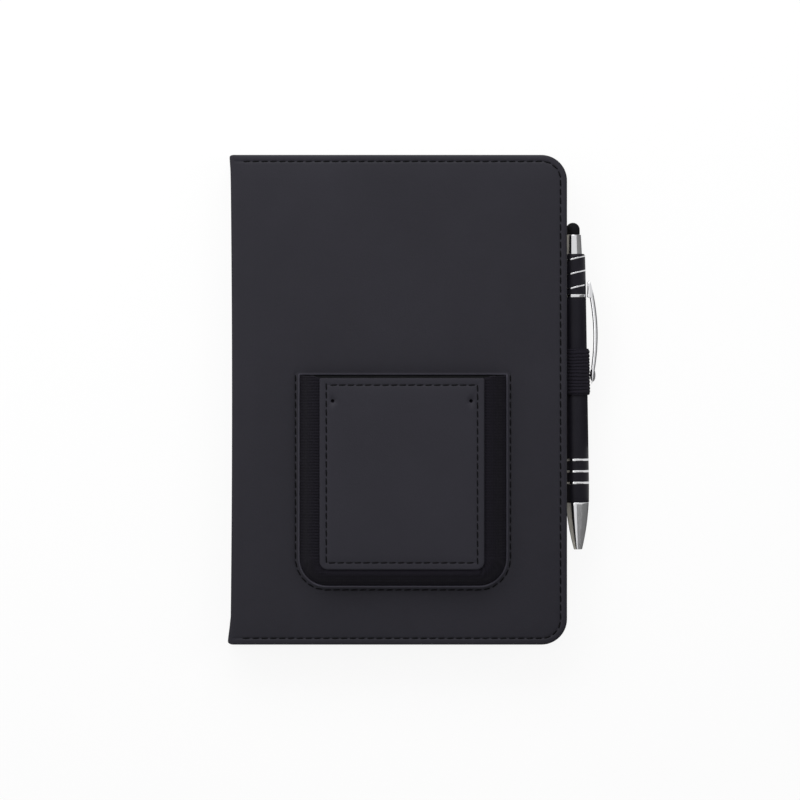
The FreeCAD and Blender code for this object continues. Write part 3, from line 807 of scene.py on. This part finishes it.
        # The rim runs from the turn-in round the lower and upper roundings, and over the seam.
        rim = [(self.turn_in + 0.1, COVER - 0.15), (self.turn_in, COVER), (0.7, COVER)]
        for a in (1.05, 0.5, 0):
            rim.append((self.under * (1 - math.cos(a)), COVER - self.under * (1 - math.sin(a))))
        rim += rounding(self.edge)[::-1]
        rim += flat((1.5, 1.9, seam - 0.55, seam - 0.3, seam - 0.1, seam + 0.1, seam + 0.3))
        rim += flat((seam + 0.55, 3.8, 4.5, 5.5, inner))
        pattern, holes = Pattern(), []
        border = pattern.rows([(self.path(inset), depth) for inset, depth in rim])
        back = stations(HALF - inner, inner - HALF, 4)[1:-1]
        border += pattern.row([(MIDDLE, v) for v in back], 0)
        if self.windowed:
            seam = self.window_seam
            lips = [(0, 0.8)] + rounding(self.lip_edge, 4)[::-1] + flat((0.9, seam - 0.5))
            lips += flat((seam - 0.25, seam, seam + 0.25, seam + 0.5, 3, 4, 5.5))
            holes = [pattern.rows([(self.window(out), depth) for out, depth in lips], True)]
        pattern.fill(border, holes, self.grid(inner + 1))
        piece = pattern.laid(name, self.place, material, "leather_black")
        if self.windowed:
            # A painted highlight along the window's lip, stronger on its foot, where the raised
            # front shades it.
            shares = []
            for u, v, _ in pattern.points:
                lip = abs(self.from_window(u, v)) < 0.5
                shares.append(lip * (0.45 + 0.5 * smooth_step(3 - self.window_drop - v, 3)))
            painted_light(piece, shares)
        facing(piece, 1 if self.windowed else -1)
        return piece


class NOTEBOOK_OT_covers(bpy.types.Operator):
    """Wrap both boards and the spine in leather, with the pocket's window cut in front"""

    bl_idname = "notebook.covers"
    bl_label = "Covers"

    def execute(self, context):
        leather = leather_material(context.scene.notebook_finish)
        middle = HINGE.x - BEND
        front = Cover(context, True).build("front_wrap", leather)
        start, end = at(middle, HINGE.z), at(HINGE.x, TOTAL)
        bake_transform(front)
        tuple(start)
        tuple(end)
        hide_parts("front_skin")
        back = Cover(context, False).build("back_wrap", leather)
        start, end = at(HINGE.x, 0), at(middle, TOTAL - HINGE.z)
        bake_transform(back)
        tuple(start)
        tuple(end)
        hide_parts("back_skin", "spine_skin")
        return {"FINISHED"}


class NOTEBOOK_OT_cover_seams(bpy.types.Operator):
    """Sew the covers' three open sides and the pocket window's sides and foot"""

    bl_idname = "notebook.cover_seams"
    bl_label = "Cover seams"

    def execute(self, context):
        pitch = Sizes(context, "notebook_thread").pitch
        for body, up in (("front_cover", 1.0), ("back_cover", -1.0)):
            cover = Cover(context, up > 0)
            path = [p for p in cover.path(cover.seam_inset) if p[0] > HINGE.x + 1.5]
            sewn(context, f"{body}_seam", path, pitch, cover.place, body, up)
        cover = Cover(context, True)
        path = cover.cup(cover.window_seam, 0.5, 1)
        sewn(context, "window_seam", path, pitch, cover.place, "front_cover")
        return {"FINISHED"}


# pocket


# The raised front's left, right, top and drop from the middle, and its lower corners' radius.
RAISED_FRONT = (33.0, 35.6, 9.3, 71.5, 4.0)

# How the elastic climbs: (share of the way from the window to the raised front, tenths
# of the height).
CLIMB = (
    (-0.08, -0.1), (-0.01, 0.1), (0.012, 0.75), (0.03, 1.15), (0.07, 1.5), (0.12, 2.1),
    (0.18, 3.2), (0.25, 4.9), (0.32, 6.6), (0.4, 8.0), (0.5, 9.15), (0.6, 9.7),
    (0.7, 9.9), (0.85, 9.98), (1, 10),
)


class NOTEBOOK_OT_pocket(bpy.types.Operator):
    """Stretch the ribbed elastic from the window over the pocket's raised front"""

    bl_idname = "notebook.pocket"
    bl_label = "Stretch pocket"

    def execute(self, context):
        cover, pocket = Cover(context, True), Sizes(context, "notebook_pocket")
        panel, face = (end.z for end in span("elastic_front"))
        low = span("elastic_gusset")[0].z
        rise = face - low - 0.05
        sides = ("left", "right", "top", "drop", "corner")
        window = [getattr(cover, f"window_{side}") for side in sides]
        rows = []
        for share, level in CLIMB:
            cup = [blended(outer, inner, share) for outer, inner in zip(window, RAISED_FRONT)]
            path = cup_path(*cup, pocket.rib_pitch / 4, 1.6, 16)
            rows.append((path, low + rise * level / 10))
        pattern = Pattern()
        border = pattern.rows(rows)
        (left, top, _), (right, _, _) = (pattern.points[border[i]] for i in (0, -1))
        border += pattern.row([(u, top) for u in stations(right, left, 3)[1:-1]], low + rise)
        pattern.fill(border)
        points, crests = [], []
        for u, v, z in pattern.points:
            rib = math.cos(math.tau * v / pocket.rib_pitch)
            height = pocket.rib_height * smooth_step(z - low, 2)
            points.append((u, v, (z or low + rise) + rib * height))
            # A base tone, painted highlights on the rib crests, and lighter tone below the window's
            # foot as painted light against the raised front's shade.
            crests.append(0.2 + 0.1 * rib + 0.1 * smooth_step(-70 - v, 4))
        elastic = elastic_material(context.scene.notebook_finish)
        cloth = new_piece("pocket_elastic", points, pattern.faces, elastic)
        facing(cloth, 1)
        painted_light(cloth, crests)
        shell = cloth.modifiers.new("thickness", "SOLIDIFY")
        shell.thickness, shell.offset = pocket.thickness * MM, -1.0
        with context.temp_override(object=cloth, active_object=cloth):
            bpy.ops.object.modifier_apply(modifier=shell.name)
        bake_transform(cloth)
        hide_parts("elastic_gusset", "elastic_front")
        return {"FINISHED"}


class Patch(Sizes):
    """Places the pattern of the leather patch on the pocket's front."""

    def __init__(self, context):
        super().__init__(context, "notebook_pocket")
        self.low, self.high = span("pocket_patch")

    def path(self, inset, gap=2.5):
        """Round the patch: tight corners above, rounded ones below."""
        wide, tall = self.high.x - self.low.x, self.high.y - self.low.y
        across, up = round(wide / gap), round(tall / gap)
        left, right = self.low.x + inset, self.high.x - inset
        low, high = self.low.y + inset, self.high.y - inset
        radius, tight = max(self.patch_corner - inset, 0.5), max(0.7 - inset, 0.3)
        path = [(u, low) for u in parts(left + radius, right - radius, across)]
        path += arc((right - radius, low + radius), radius, 270, 360, 8)
        path += [(right, v) for v in parts(low + radius, high - tight, up)]
        path += arc((right - tight, high - tight), tight, 0, 90, 4)
        path += [(u, high) for u in parts(right - tight, left + tight, across)]
        path += arc((left + tight, high - tight), tight, 90, 180, 4)
        path += [(left, v) for v in parts(high - tight, low + radius, up)]
        return path + arc((left + radius, low + radius), radius, 180, 270, 8)

    def place(self, u, v, depth):
        """A pattern point on the pocket, with its depth below the patch's face."""
        inner = min(u - self.low.x, self.high.x - u, v - self.low.y, self.high.y - v)
        inner -= self.patch_seam
        rise = self.patch_crown * smooth_step(inner, 5)
        rise += 0.05 * noise.noise((u / 26, v / 26, 15.0))
        rise -= self.patch_dip * bell(inner, 0.5)
        return (u, v, self.high.z - depth + rise * max(0.0, 1 - depth / 0.5))


class NOTEBOOK_OT_patch(bpy.types.Operator):
    """Sew the leather patch on the pocket's front"""

    bl_idname = "notebook.patch"
    bl_label = "Pocket patch"

    def execute(self, context):
        patch, pattern = Patch(context), Pattern()
        low, high, seam, hole = patch.low, patch.high, patch.patch_seam, patch.eyelet
        thick = high.z - low.z
        rim = [(4, thick), (0.3, thick), (0.05, thick - 0.2)] + rounding(patch.patch_edge)[::-1]
        rim += flat((1.0, 1.8, seam - 0.5, seam - 0.25, seam, seam + 0.25, seam + 0.5, seam + 0.9))
        border = pattern.rows([(patch.path(inset), depth) for inset, depth in rim], True)
        holes, y = [], high.y - patch.eyelet_drop
        for x in (low.x + 5.6, high.x - 5.7):
            rows = []
            for radius, depth in ((hole, thick * 0.7), (hole, 0.12), (hole + 0.12, 0)):
                rows.append(([(x + radius * c, y + radius * s) for c, s in circle(16)], depth))
            holes.append(pattern.rows(rows, True))
        near = [pattern.points[loop[0]][:2] for loop in holes]
        grid = [
            (u, v)
            for u in stations(low.x + 5.5, high.x - 5.5, 3)
            for v in stations(low.y + 5.5, high.y - 5.5, 3)
            if all(math.dist((u, v), point) > 2 for point in near)
        ]
        pattern.fill(border, holes, grid)
        leather = leather_material(context.scene.notebook_finish)
        piece = pattern.laid("patch_leather", patch.place, leather, "leather_black")
        facing(piece, 1)
        # Painted light: the raised patch is painted a little lighter all over.
        painted_light(piece, [0.05] * len(pattern.points))
        carried(piece, "pocket_panel", "pocket_patch")
        path, pitch = patch.path(seam, 1), Sizes(context, "notebook_thread").patch_pitch
        sewn(context, "patch_seam", path + path[:1], pitch, patch.place, "pocket_panel")
        return {"FINISHED"}


# pen


def pen_span(node):
    """A pen part's lowest and highest place along the axis, its ends square to it."""
    low, high = span(node)
    reach = max(high.x - low.x, high.z - low.z) / 2 * abs(PEN_WAY.x)
    return (low.y + reach) / PEN_WAY.y, (high.y - reach) / PEN_WAY.y


def eased(profile, count=4):
    """A closed profile of (radius, along[, rounding]) with its corners rounded."""
    made = []
    for i, corner in enumerate(profile):
        if len(corner) < 3:
            made.append(corner)
            continue
        here, ends = Vector(corner[:2]), []
        for other in (profile[i - 1], profile[(i + 1) % len(profile)]):
            leg = Vector(other[:2]) - here
            ends.append(here + leg.normalized() * min(corner[2], leg.length * 0.49))
        for t in parts(0, 1, count):
            point = ends[0].lerp(here, t).lerp(here.lerp(ends[1], t), t)
            made.append((point.x, point.y))
    return made


class Pen(Sizes):
    """The click pen's leaning axis, and the parts turned about it."""

    def __init__(self, context):
        super().__init__(context, "notebook_pen")

    def at(self, radius, along, turn=0.0):
        """A point at a distance from the pen's axis, along it, turned round it."""
        out = SIDE * math.cos(turn) + UP * math.sin(turn)
        return Vector((self.line, 0, TOTAL / 2)) + PEN_WAY * along + out * radius

    def turned(self, name, profile, material, slot, turns=96, slope=0.0):
        """A turned part; a slope shifts its points along the pen, from side to side."""
        rings, points, faces = [], [], []
        for radius, along in profile:
            first, count = len(points), turns if radius > 1e-6 else 1
            for turn in (math.tau * k / turns for k in range(count)):
                lean = radius * math.cos(turn) * slope
                points.append(self.at(radius, along + lean, turn))
            rings.append([first + k % count for k in range(turns)])
        for a, b in zip(rings, rings[1:] + rings[:1]):
            for k in range(turns):
                n = (k + 1) % turns
                face = list(dict.fromkeys((a[k], a[n], b[n], b[k])))
                if len(face) > 2:
                    faces.append(face)
        return new_piece(name, points, faces, material)

    def rings(self, name, node, chrome, rows):
        """Rings (place, width, slope, radius) as one piece in a node's place."""
        gathered = bmesh.new()
        for middle, width, slope, radius in rows:
            low, high = middle - width / 2, middle + width / 2
            outer = radius + self.ring_proud
            shape = [(radius - 0.05, low), (outer, low, 0.09), (outer, high, 0.09)]
            shape = eased([*shape, (radius - 0.05, high)])
            ring = self.turned("ring", shape, chrome, "bright_chrome", slope=slope)
            gathered.from_mesh(ring.data)
            bpy.data.objects.remove(ring)
        mesh = bpy.data.meshes.new(name)
        gathered.to_mesh(mesh)
        gathered.free()
        mesh.materials.append(chrome)
        carried(placed(name, mesh), "pen", node)


class NOTEBOOK_OT_barrels(bpy.types.Operator):
    """Turn the pen's two barrels, its nose and its rings"""

    bl_idname = "notebook.barrels"
    bl_label = "Barrels, nose and rings"

    def execute(self, context):
        pen, finish = Pen(context), context.scene.notebook_finish
        black, chrome = lacquer_material(finish), chrome_material(finish)
        radius, bore, wide = pen.barrel, pen.barrel - pen.wall, pen.collar_bore
        joint, top = pen_span("upper_barrel")
        foot, tip = pen_span("lower_barrel")[0], pen_span("nose_cone")[0]
        shoulder = top - pen.collar
        upper = [(bore, joint, 0.1), (radius, joint, 0.12), (radius, shoulder, 4)]
        upper += [(radius - 0.12, top - 0.7, 0.3), (radius - 0.7, top, 0.2), (wide, top, 0.15)]
        upper += [(wide, shoulder), (bore, shoulder)]
        lower = [(bore, foot, 0.1), (radius - 0.15, foot, 0.12), (radius, foot + 7, 3)]
        lower += [(radius, joint - 0.03, 0.12), (bore, joint - 0.03)]
        for node, profile in (("upper_barrel", upper), ("lower_barrel", lower)):
            made = pen.turned(f"{node}_lacquer", eased(profile), black, "soft_black_paint")
            carried(made, "pen", node)
        spigot, seat, point = bore - 0.1, foot - 9.9, pen.nose_bore
        nose = [(point, tip + 0.1), (point + 0.1, tip), (point + 0.25, tip), (1.85, tip + 0.15)]
        for t in parts(0, 1, 14):
            side = blended(pen.nose_tip, pen.nose_root, t) + pen.nose_bulge * bow(t)
            nose.append((side, blended(tip + 0.5, foot - 0.25, t)))
        nose += [(4.92, foot - 0.06), (4.8, foot), (spigot, foot), (spigot, foot + 6)]
        nose += [(2.6, foot + 6), (2.6, seat), (point, seat)]
        carried(pen.turned("nose_chrome", nose, chrome, "bright_chrome"), "pen", "nose_cone")
        slope = math.tan(pen.band_slope)
        bands = []
        for i, slim in enumerate((0.1, 0.03, 0)):
            bands.append((top - 2.05 - pen.band_pitch * i, 0.62, slope, radius - slim))
        bands.append((top - 18, 1.2, 0.0, radius))
        pen.rings("upper_rings", "upper_bands", chrome, bands)
        bands = [(foot + 8.4 + pen.ring_pitch * i, 0.95, 0.0, radius) for i in range(3)]
        pen.rings("lower_rings", "lower_bands", chrome, bands)
        return {"FINISHED"}


class NOTEBOOK_OT_plunger(bpy.types.Operator):
    """Turn the plunger and the rubber stylus tip on its top"""

    bl_idname = "notebook.plunger"
    bl_label = "Plunger and stylus"

    def execute(self, context):
        pen, finish = Pen(context), context.scene.notebook_finish
        barrel, (foot, top) = pen_span("upper_barrel")[1], pen_span("plunger_tube")
        root, tip = pen_span("stylus_tip")
        outer, bore, rubber = pen.plunger, pen.plunger - 0.6, pen.stylus
        tube = [(bore, foot), (outer, foot, 0.15), (outer, barrel, 1), (pen.plunger_top, top, 0.35)]
        tube += [(2.2, top), (2.2, top - 1), (bore, top - 1)]
        chrome = chrome_material(finish)
        made = pen.turned("plunger_chrome", eased(tube), chrome, "bright_chrome", 72)
        carried(made, "plunger", "plunger_tube")
        crown = [(0, root), (2.1, root, 0.2), (2.1, top), (rubber - 0.2, top)]
        crown += [(rubber, top + 0.2), (rubber, tip - rubber)]
        for a in (math.radians(8 * i) for i in range(1, 11)):
            crown.append((rubber * math.cos(a), tip - rubber * (1 - math.sin(a))))
        crown.append((0, tip))
        soft = moulded_material("soft_rubber", finish.rubber, 0.6, Specular_IOR_Level=0.08)
        made = pen.turned("stylus_rubber_tip", eased(crown), soft, "stylus_rubber", 72)
        carried(made, "plunger", "stylus_tip")
        return {"FINISHED"}


class NOTEBOOK_OT_spring(bpy.types.Operator):
    """Coil the refill's spring at its rest length; it is not made to shorten as the refill is
    pushed out
    """

    bl_idname = "notebook.spring"
    bl_label = "Refill spring"

    def execute(self, context):
        pen, form = Pen(context), Form()
        coils, around, wire = 8, 20, pen.spring_wire
        low, high = span("refill_spring")
        foot, top = pen_span("refill_spring")
        radius = (high.z - low.z) / 2 - wire
        rings = []
        for i, along in enumerate(parts(foot + wire, top - wire, coils * around)):
            turn = math.tau * i / around
            section = [(radius + wire * c, along + wire * s) for c, s in circle(8)]
            rings.append([pen.at(*point, turn) for point in section])
        form.tube(rings)
        steel = metal_material("spring_wire", (0.55, 0.55, 0.56), 0.25)
        made = form.piece("coiled_spring", steel, "spring_steel")
        carried(made, "pen", "refill_spring")
        anchor = pen.at(0, foot) * MM
        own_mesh(made)
        return {"FINISHED"}


def rounded_box(low, high, half, radius, count=5):
    """A rounded box's outline between two heights, this wide to either side."""
    radius = min(radius, (high - low) * 0.48, half * 0.9)
    made = []
    for quarter, (x, y) in enumerate(((1, 1), (-1, 1), (-1, -1), (1, -1))):
        centre = (low + high) / 2 + x * ((high - low) / 2 - radius), y * (half - radius)
        for a in (math.radians(90 * (quarter + part)) for part in parts(0, 1, count)):
            made.append((centre[0] + radius * math.cos(a), centre[1] + radius * math.sin(a)))
    return made


class NOTEBOOK_OT_clip(bpy.types.Operator):
    """Bend the pen's bowed clip, with rounded edges and a ball at its foot"""

    bl_idname = "notebook.clip"
    bl_label = "Pen clip"

    def section(self, pen, along, tail, head):
        """
        The clip's inner and outer radius at this place along the pen.

        It is flat over its ball, arches to its root, and steps in to the lug in the barrel.
        """
        ball, root = tail + 7.2, head - 7.5
        share = (along - tail) / (head - tail)
        outer = pen.clip_face + pen.clip_bow * bow(share)
        if along < ball:
            inner = 7.0
        elif along < root:
            share = (along - ball) / (root - ball)
            inner = blended(6.9, 6.75, share) + pen.clip_arch * bow(share)
        else:
            lug = blended(5.62, 5.95, (along - root) / (head - 1 - root))
            inner = blended(6.75, lug, smooth_step(along - root, 0.45))
        slim = dome(min((along - tail) / 0.7, (head - along) / 1.3, 1))
        middle = (inner + outer) / 2
        if along >= ball:
            middle = blended(6.6, middle, slim)
        half = max((outer - inner) / 2 * slim, 0.05)
        return middle - half, middle + half

    def execute(self, context):
        pen, form = Pen(context), Form()
        tail, head = (end.y / PEN_WAY.y for end in span("clip"))
        tail -= 0.13
        places = [tail + rise for rise in (0.01, 0.06, 0.16, 0.3, 0.5, 0.75)]
        places += stations(tail + 1.1, head - 7.6, 0.7)
        places += stations(head - 7.5, head - 7.05, 0.09) + stations(head - 6.8, head - 1.4, 0.6)
        places += [head - drop for drop in (1.1, 0.8, 0.5, 0.28, 0.12, 0.02)]
        rings = []
        for along in places:
            end = min((along - tail) / 2.5, (head - along) / 2.5, 1)
            wide = pen.clip_width / 2 * (0.62 + 0.38 * dome(end))
            outline = rounded_box(*self.section(pen, along, tail, head), wide, 1.0)
            rings.append([pen.at(out, along) + UP * rise for out, rise in outline])
        form.tube(rings)
        # The ball: half its length, height and width.
        long, tall, wide = 2.9, 1.2, 1.4
        rings = []
        for a in parts(0, math.pi, 12)[1:-1]:
            girth, along = math.sin(a), tail + 1 + long * (1 - math.cos(a))
            ball = [(7.5 + tall * girth * c, wide * girth * s) for c, s in circle(16)]
            rings.append([pen.at(out, along) + UP * rise for out, rise in ball])
        form.tube(rings)
        chrome = chrome_material(context.scene.notebook_finish)
        carried(form.piece("clip_chrome", chrome, "bright_chrome"), "clip", "clip")
        return {"FINISHED"}


# The pen loop's lower and upper edge along the pen, and the radius of the elastic's
# middle line round it.
LOOP_LOW, LOOP_HIGH, LOOP_RING = 2.0, 21.9, 5.9


class NOTEBOOK_OT_loop(bpy.types.Operator):
    """Bring the ribbed elastic out of the back cover and round the pen"""

    bl_idname = "notebook.pen_loop"
    bl_label = "Pen loop"

    def line(self):
        """The strip's middle line in its section, each (side, up, half thickness)."""
        ring, half = LOOP_RING, 0.4
        low = span("pen_loop")[0].z + 0.25 - TOTAL / 2
        tail = [(side, low, 0.24) for side in stations(-25.3, -7.2, 2)]
        bend = [(-6.75, low + 0.03, 0.27), (-6.3, low + 0.2, 0.34), (-5.95, low + 0.5, 0.38)]
        bend.append((-5.4, low + 0.72, half))
        strap = [(side, -ring, half) for side in stations(-4.6, -0.6, 0.8)]
        turns = [math.radians(a) for a in stations(-90, 264, 5)]
        return tail + bend + strap + [(ring * math.cos(a), ring * math.sin(a), half) for a in turns]

    def execute(self, context):
        pen = Pen(context)
        low, high, pitch = LOOP_LOW, LOOP_HIGH, pen.loop_rib
        line, rows = self.line(), stations(low, high, pitch / 10)
        wide, tall = len(line), len(rows)
        normals = []
        for a, b in zip(line[:1] + line, line[1:] + line[-1:]):
            way = Vector((b[0] - a[0], b[1] - a[1])).normalized()
            normals.append(Vector((way.y, -way.x)))
        form, crests = Form(), []
        for face in (1, -1):
            for along in rows:
                end = smooth_step(min(along - low, high - along), 0.9)
                for i, (side, rise, half) in enumerate(line):
                    # The ribs swell where the strip is loose of the cover, on its outer face.
                    loose = smooth_step(half - 0.25, 0.15)
                    wander = 0.55 * noise.noise((along * 0.2, i * 0.13, 7.0))
                    rib = abs(math.cos(math.pi * (along + wander - low) / pitch)) ** 0.6
                    rough = 0.05 * noise.noise((along * 0.9, i * 0.25, 2.0 + face))
                    swell = (pen.rib_swell * rib - 0.3 + rough) * loose if face > 0 else 0.0
                    out = face * (half * blended(0.45, 1, end) + swell * end)
                    out = normals[i] * (out - 0.22 * (1 - end) * loose)
                    form.points.append(pen.at(side + out.x, along) + UP * (rise + out.y))
                    # Painted highlights on the rib crests.
                    crests.append(0.5 * rib - 0.05)
        for row in (*range(tall - 1), *range(tall, 2 * tall - 1)):
            for a in range(row * wide, (row + 1) * wide - 1):
                form.faces.append((a, a + 1, a + wide + 1, a + wide))
        back, last = tall * wide, (tall - 1) * wide
        edge = [*range(wide), *range(2 * wide - 1, back, wide)]
        edge += [*range(back - 2, last - 1, -1), *range(last - wide, 0, -wide)]
        form.faces += [(a, b, back + b, back + a) for a, b in zip(edge, edge[1:] + edge[:1])]
        elastic = elastic_material(context.scene.notebook_finish)
        made = form.piece("ribbed_pen_loop", elastic, "elastic_black")
        painted_light(made, crests)
        carried(made, "back_cover", "pen_loop")
        reach = sum(math.dist(a[:2], b[:2]) for a, b in zip(line, line[1:]))
        return {"FINISHED"}


# insides


class NOTEBOOK_OT_insides(bpy.types.Operator):
    """Give boards, linings, pages and the pen's insides their materials"""

    bl_idname = "notebook.insides"
    bl_label = "Pages and insides"

    def dress(self, material, *nodes):
        """Puts a material on nodes whose own shape stays."""
        for node in nodes:
            for place in bpy.data.objects[node].material_slots:
                place.material = material

    def execute(self, context):
        dress, finish = self.dress, context.scene.notebook_finish
        paper, lining = finish.paper, finish.lining
        sections = [f"page_section_{i}" for i in range(1, 9)]
        dress(paper_material("page_block", paper, True), *sections)
        leaf = paper_material("loose_leaf", toned(paper, 0.98))
        dress(leaf, "back_flyleaf", "front_flyleaf")
        pasted = paper_material("end_paper", toned(paper, 0.92))
        dress(pasted, "back_endpaper", "front_endpaper")
        linings = ("back_lining", "front_lining", "spine_lining", "pocket_floor")
        dress(cloth_material("lining_weave", lining), *linings)
        backing = cloth_material("backing_weave", toned(paper, 0.8), 900)
        dress(backing, "back_pages_backing", "front_pages_backing")
        board = paper_material("grey_board", (0.24, 0.225, 0.2), True)
        dress(board, "back_board", "front_board", "spine_board")
        foam = moulded_material("soft_foam", (0.09, 0.09, 0.095), 0.9)
        dress(foam, "back_padding", "front_padding")
        brass = metal_material("drawn_brass", (0.75, 0.58, 0.3), 0.25, 0.3)
        dress(brass, "barrel_coupling")
        steel = metal_material("turned_steel", (0.6, 0.6, 0.61), 0.2, 0.3)
        dress(steel, "refill_point")
        plastic = moulded_material("moulded_plastic", (0.6, 0.6, 0.58), 0.4)
        dress(plastic, "cam_sleeve", "cam_rotor", "push_rod", "refill_plug")
        glassy = {"Transmission_Weight": 0.85, "IOR": 1.5}
        dress(moulded_material("clear_tube", (0.75, 0.78, 0.8), 0.15, **glassy), "ink_tube")
        return {"FINISHED"}


# stage


class NOTEBOOK_OT_stage(bpy.types.Operator):
    """Set the white ground, the soft lights and the camera above the book"""

    bl_idname = "notebook.stage"
    bl_label = "Stage"

    def seen(self, graph, share):
        """This share for rays that look at the background, and none for its light."""
        rays = graph.node("ShaderNodeLightPath").outputs
        total = rays["Is Camera Ray"]
        for ray in ("Is Glossy Ray", "Is Transmission Ray"):
            total = graph.math("MAXIMUM", total, rays[ray])
        return graph.math("MULTIPLY", total, share)

    def mixed(self, graph, share, lit, looked_at):
        """One shader for the light it gives, the other where it is looked at."""
        wires = {"i0": self.seen(graph, share), "i1": lit, "i2": looked_at}
        return graph.node("ShaderNodeMixShader", **wires).outputs[0]

    def room(self, scene):
        """White all round, which lights the book less than it shows."""
        scene.world = bpy.data.worlds.new("white_room")
        scene.world.use_nodes = True
        graph = Graph(scene.world.node_tree)
        graph.tree.nodes.clear()
        dim, white = (
            graph.node("ShaderNodeBackground", Color=(1, 1, 1, 1), Strength=strength).outputs[0]
            for strength in (0.35, 1.0)
        )
        graph.node("ShaderNodeOutputWorld", Surface=self.mixed(graph, 1.0, dim, white))

    def ground_material(self):
        """White ground that keeps a faint shadow where it is looked at."""
        material, graph = shader("white_ground", (0.9, 0.9, 0.9), Roughness=0.9)
        white = graph.node("ShaderNodeEmission", Color=(1, 1, 1, 1), Strength=1.0).outputs[0]
        mixed = self.mixed(graph, 0.9, graph.surface.outputs[0], white)
        graph.wire(mixed, graph.tree.nodes["Material Output"].inputs["Surface"])
        return material

    def added(self, name, data, place=(0, 0, 0), target=None):
        """Something of the stage at its place, aimed at a target if it has one."""
        made = bpy.data.objects.new(name, data)
        made.location = place
        if target:
            way = Vector(target) - made.location
            made.rotation_euler = way.to_track_quat("-Z", "Y").to_euler()
        bpy.context.scene.collection.objects.link(made)
        return made

    def sheet(self, name, corners, material, height=0.0):
        """A flat sheet between four corners."""
        mesh = bpy.data.meshes.new(name)
        mesh.from_pydata(corners, [], [(0, 1, 2, 3)])
        mesh.materials.append(material)
        return self.added(name, mesh, (0, 0, height))

    def grey_screen(self, name, low, high, grey):
        """A grey screen between two corners, only seen where the book is glossy."""
        corners = [low, (low[0], high[1], low[2]), high, (high[0], low[1], high[2])]
        material, _ = shader(name, (grey, grey, grey), Roughness=1.0)
        made = self.sheet(name, corners, material)
        made.visible_camera = made.visible_diffuse = made.visible_shadow = False
        return made

    def soft_light(self, name, place, target, size, power):
        lamp = bpy.data.lights.new(name, "AREA")
        lamp.shape, lamp.energy = "RECTANGLE", power
        lamp.size, lamp.size_y = size
        return self.added(name, lamp, place, target)

    def execute(self, context):
        self.room(context.scene)
        reach = 1.5
        corners = [(-reach, -reach, 0), (reach, -reach, 0), (reach, reach, 0), (-reach, reach, 0)]
        floor = self.sheet("ground", corners, self.ground_material(), -0.0005)
        middle, upright = (0, 0, 0), (0.4, 0.8)
        lights = [
            self.soft_light("head_light", (-0.15, 0.5, 0.45), (0, 0.04, 0), (0.9, 0.4), 4.4),
            self.soft_light("right_light", (0.75, 0.15, 0.6), middle, upright, 2),
            self.soft_light("left_light", (-0.75, 0.1, 0.6), middle, upright, 1.5),
        ]
        lights[1].visible_glossy = False
        screens = [
            self.grey_screen("left_screen", (-1, -1.2, 0.02), (-1, 1.2, 0.5), 0.05),
            self.grey_screen("foot_screen", (0.035, -0.6, 0.3), (0.6, -0.05, 0.3), 0.48),
        ]
        for part, low, high in (
            ("plunger", 0.0628, 1),
            ("clip", -0.02, 0.0475),
            ("nose", -1, -0.0435),
        ):
            ends = (0.084, low, 0.0003), (0.125, high, 0.055)
            screens.append(self.grey_screen(f"{part}_screen", *ends, 0.28))
        camera = bpy.data.cameras.new("camera")
        camera.lens, camera.sensor_width = 270, 36
        eye = self.added("camera", camera, (0.00047, -0.00009, 2.5896))
        context.scene.camera = eye
        context.scene.view_settings.view_transform = "Standard"
        return {"FINISHED"}


PIECES = (
    NOTEBOOK_OT_covers,
    NOTEBOOK_OT_cover_seams,
    NOTEBOOK_OT_pocket,
    NOTEBOOK_OT_patch,
    NOTEBOOK_OT_barrels,
    NOTEBOOK_OT_plunger,
    NOTEBOOK_OT_spring,
    NOTEBOOK_OT_clip,
    NOTEBOOK_OT_loop,
    NOTEBOOK_OT_insides,
    NOTEBOOK_OT_stage,
)


class NOTEBOOK_PT_panel(bpy.types.Panel):
    """The notebook's pieces and their sizes"""

    bl_idname = "NOTEBOOK_PT_panel"
    bl_label = "Pocket notebook"
    bl_space_type = "VIEW_3D"
    bl_region_type = "UI"
    bl_category = "Notebook"

    def draw(self, context):
        layout = self.layout
        for group, kind in GROUPS.items():
            box = layout.box()
            box.label(text=kind.__doc__.rstrip("."))
            for key in kind.__annotations__:
                box.prop(getattr(context.scene, group), key)
        for piece in PIECES:
            layout.operator(piece.bl_idname)


CLASSES = (*GROUPS.values(), *PIECES, NOTEBOOK_PT_panel)


def register():
    for kind in CLASSES:
        bpy.utils.register_class(kind)
    for name, kind in GROUPS.items():
        setattr(bpy.types.Scene, name, bpy.props.PointerProperty(type=kind))


def unregister():
    for name in GROUPS:
        delattr(bpy.types.Scene, name)
    for kind in reversed(CLASSES):
        bpy.utils.unregister_class(kind)


def main():
    register()
    for piece in PIECES:
        group, name = piece.bl_idname.split(".")
        getattr(getattr(bpy.ops, group), name)()


if __name__ == "__main__":
    main()
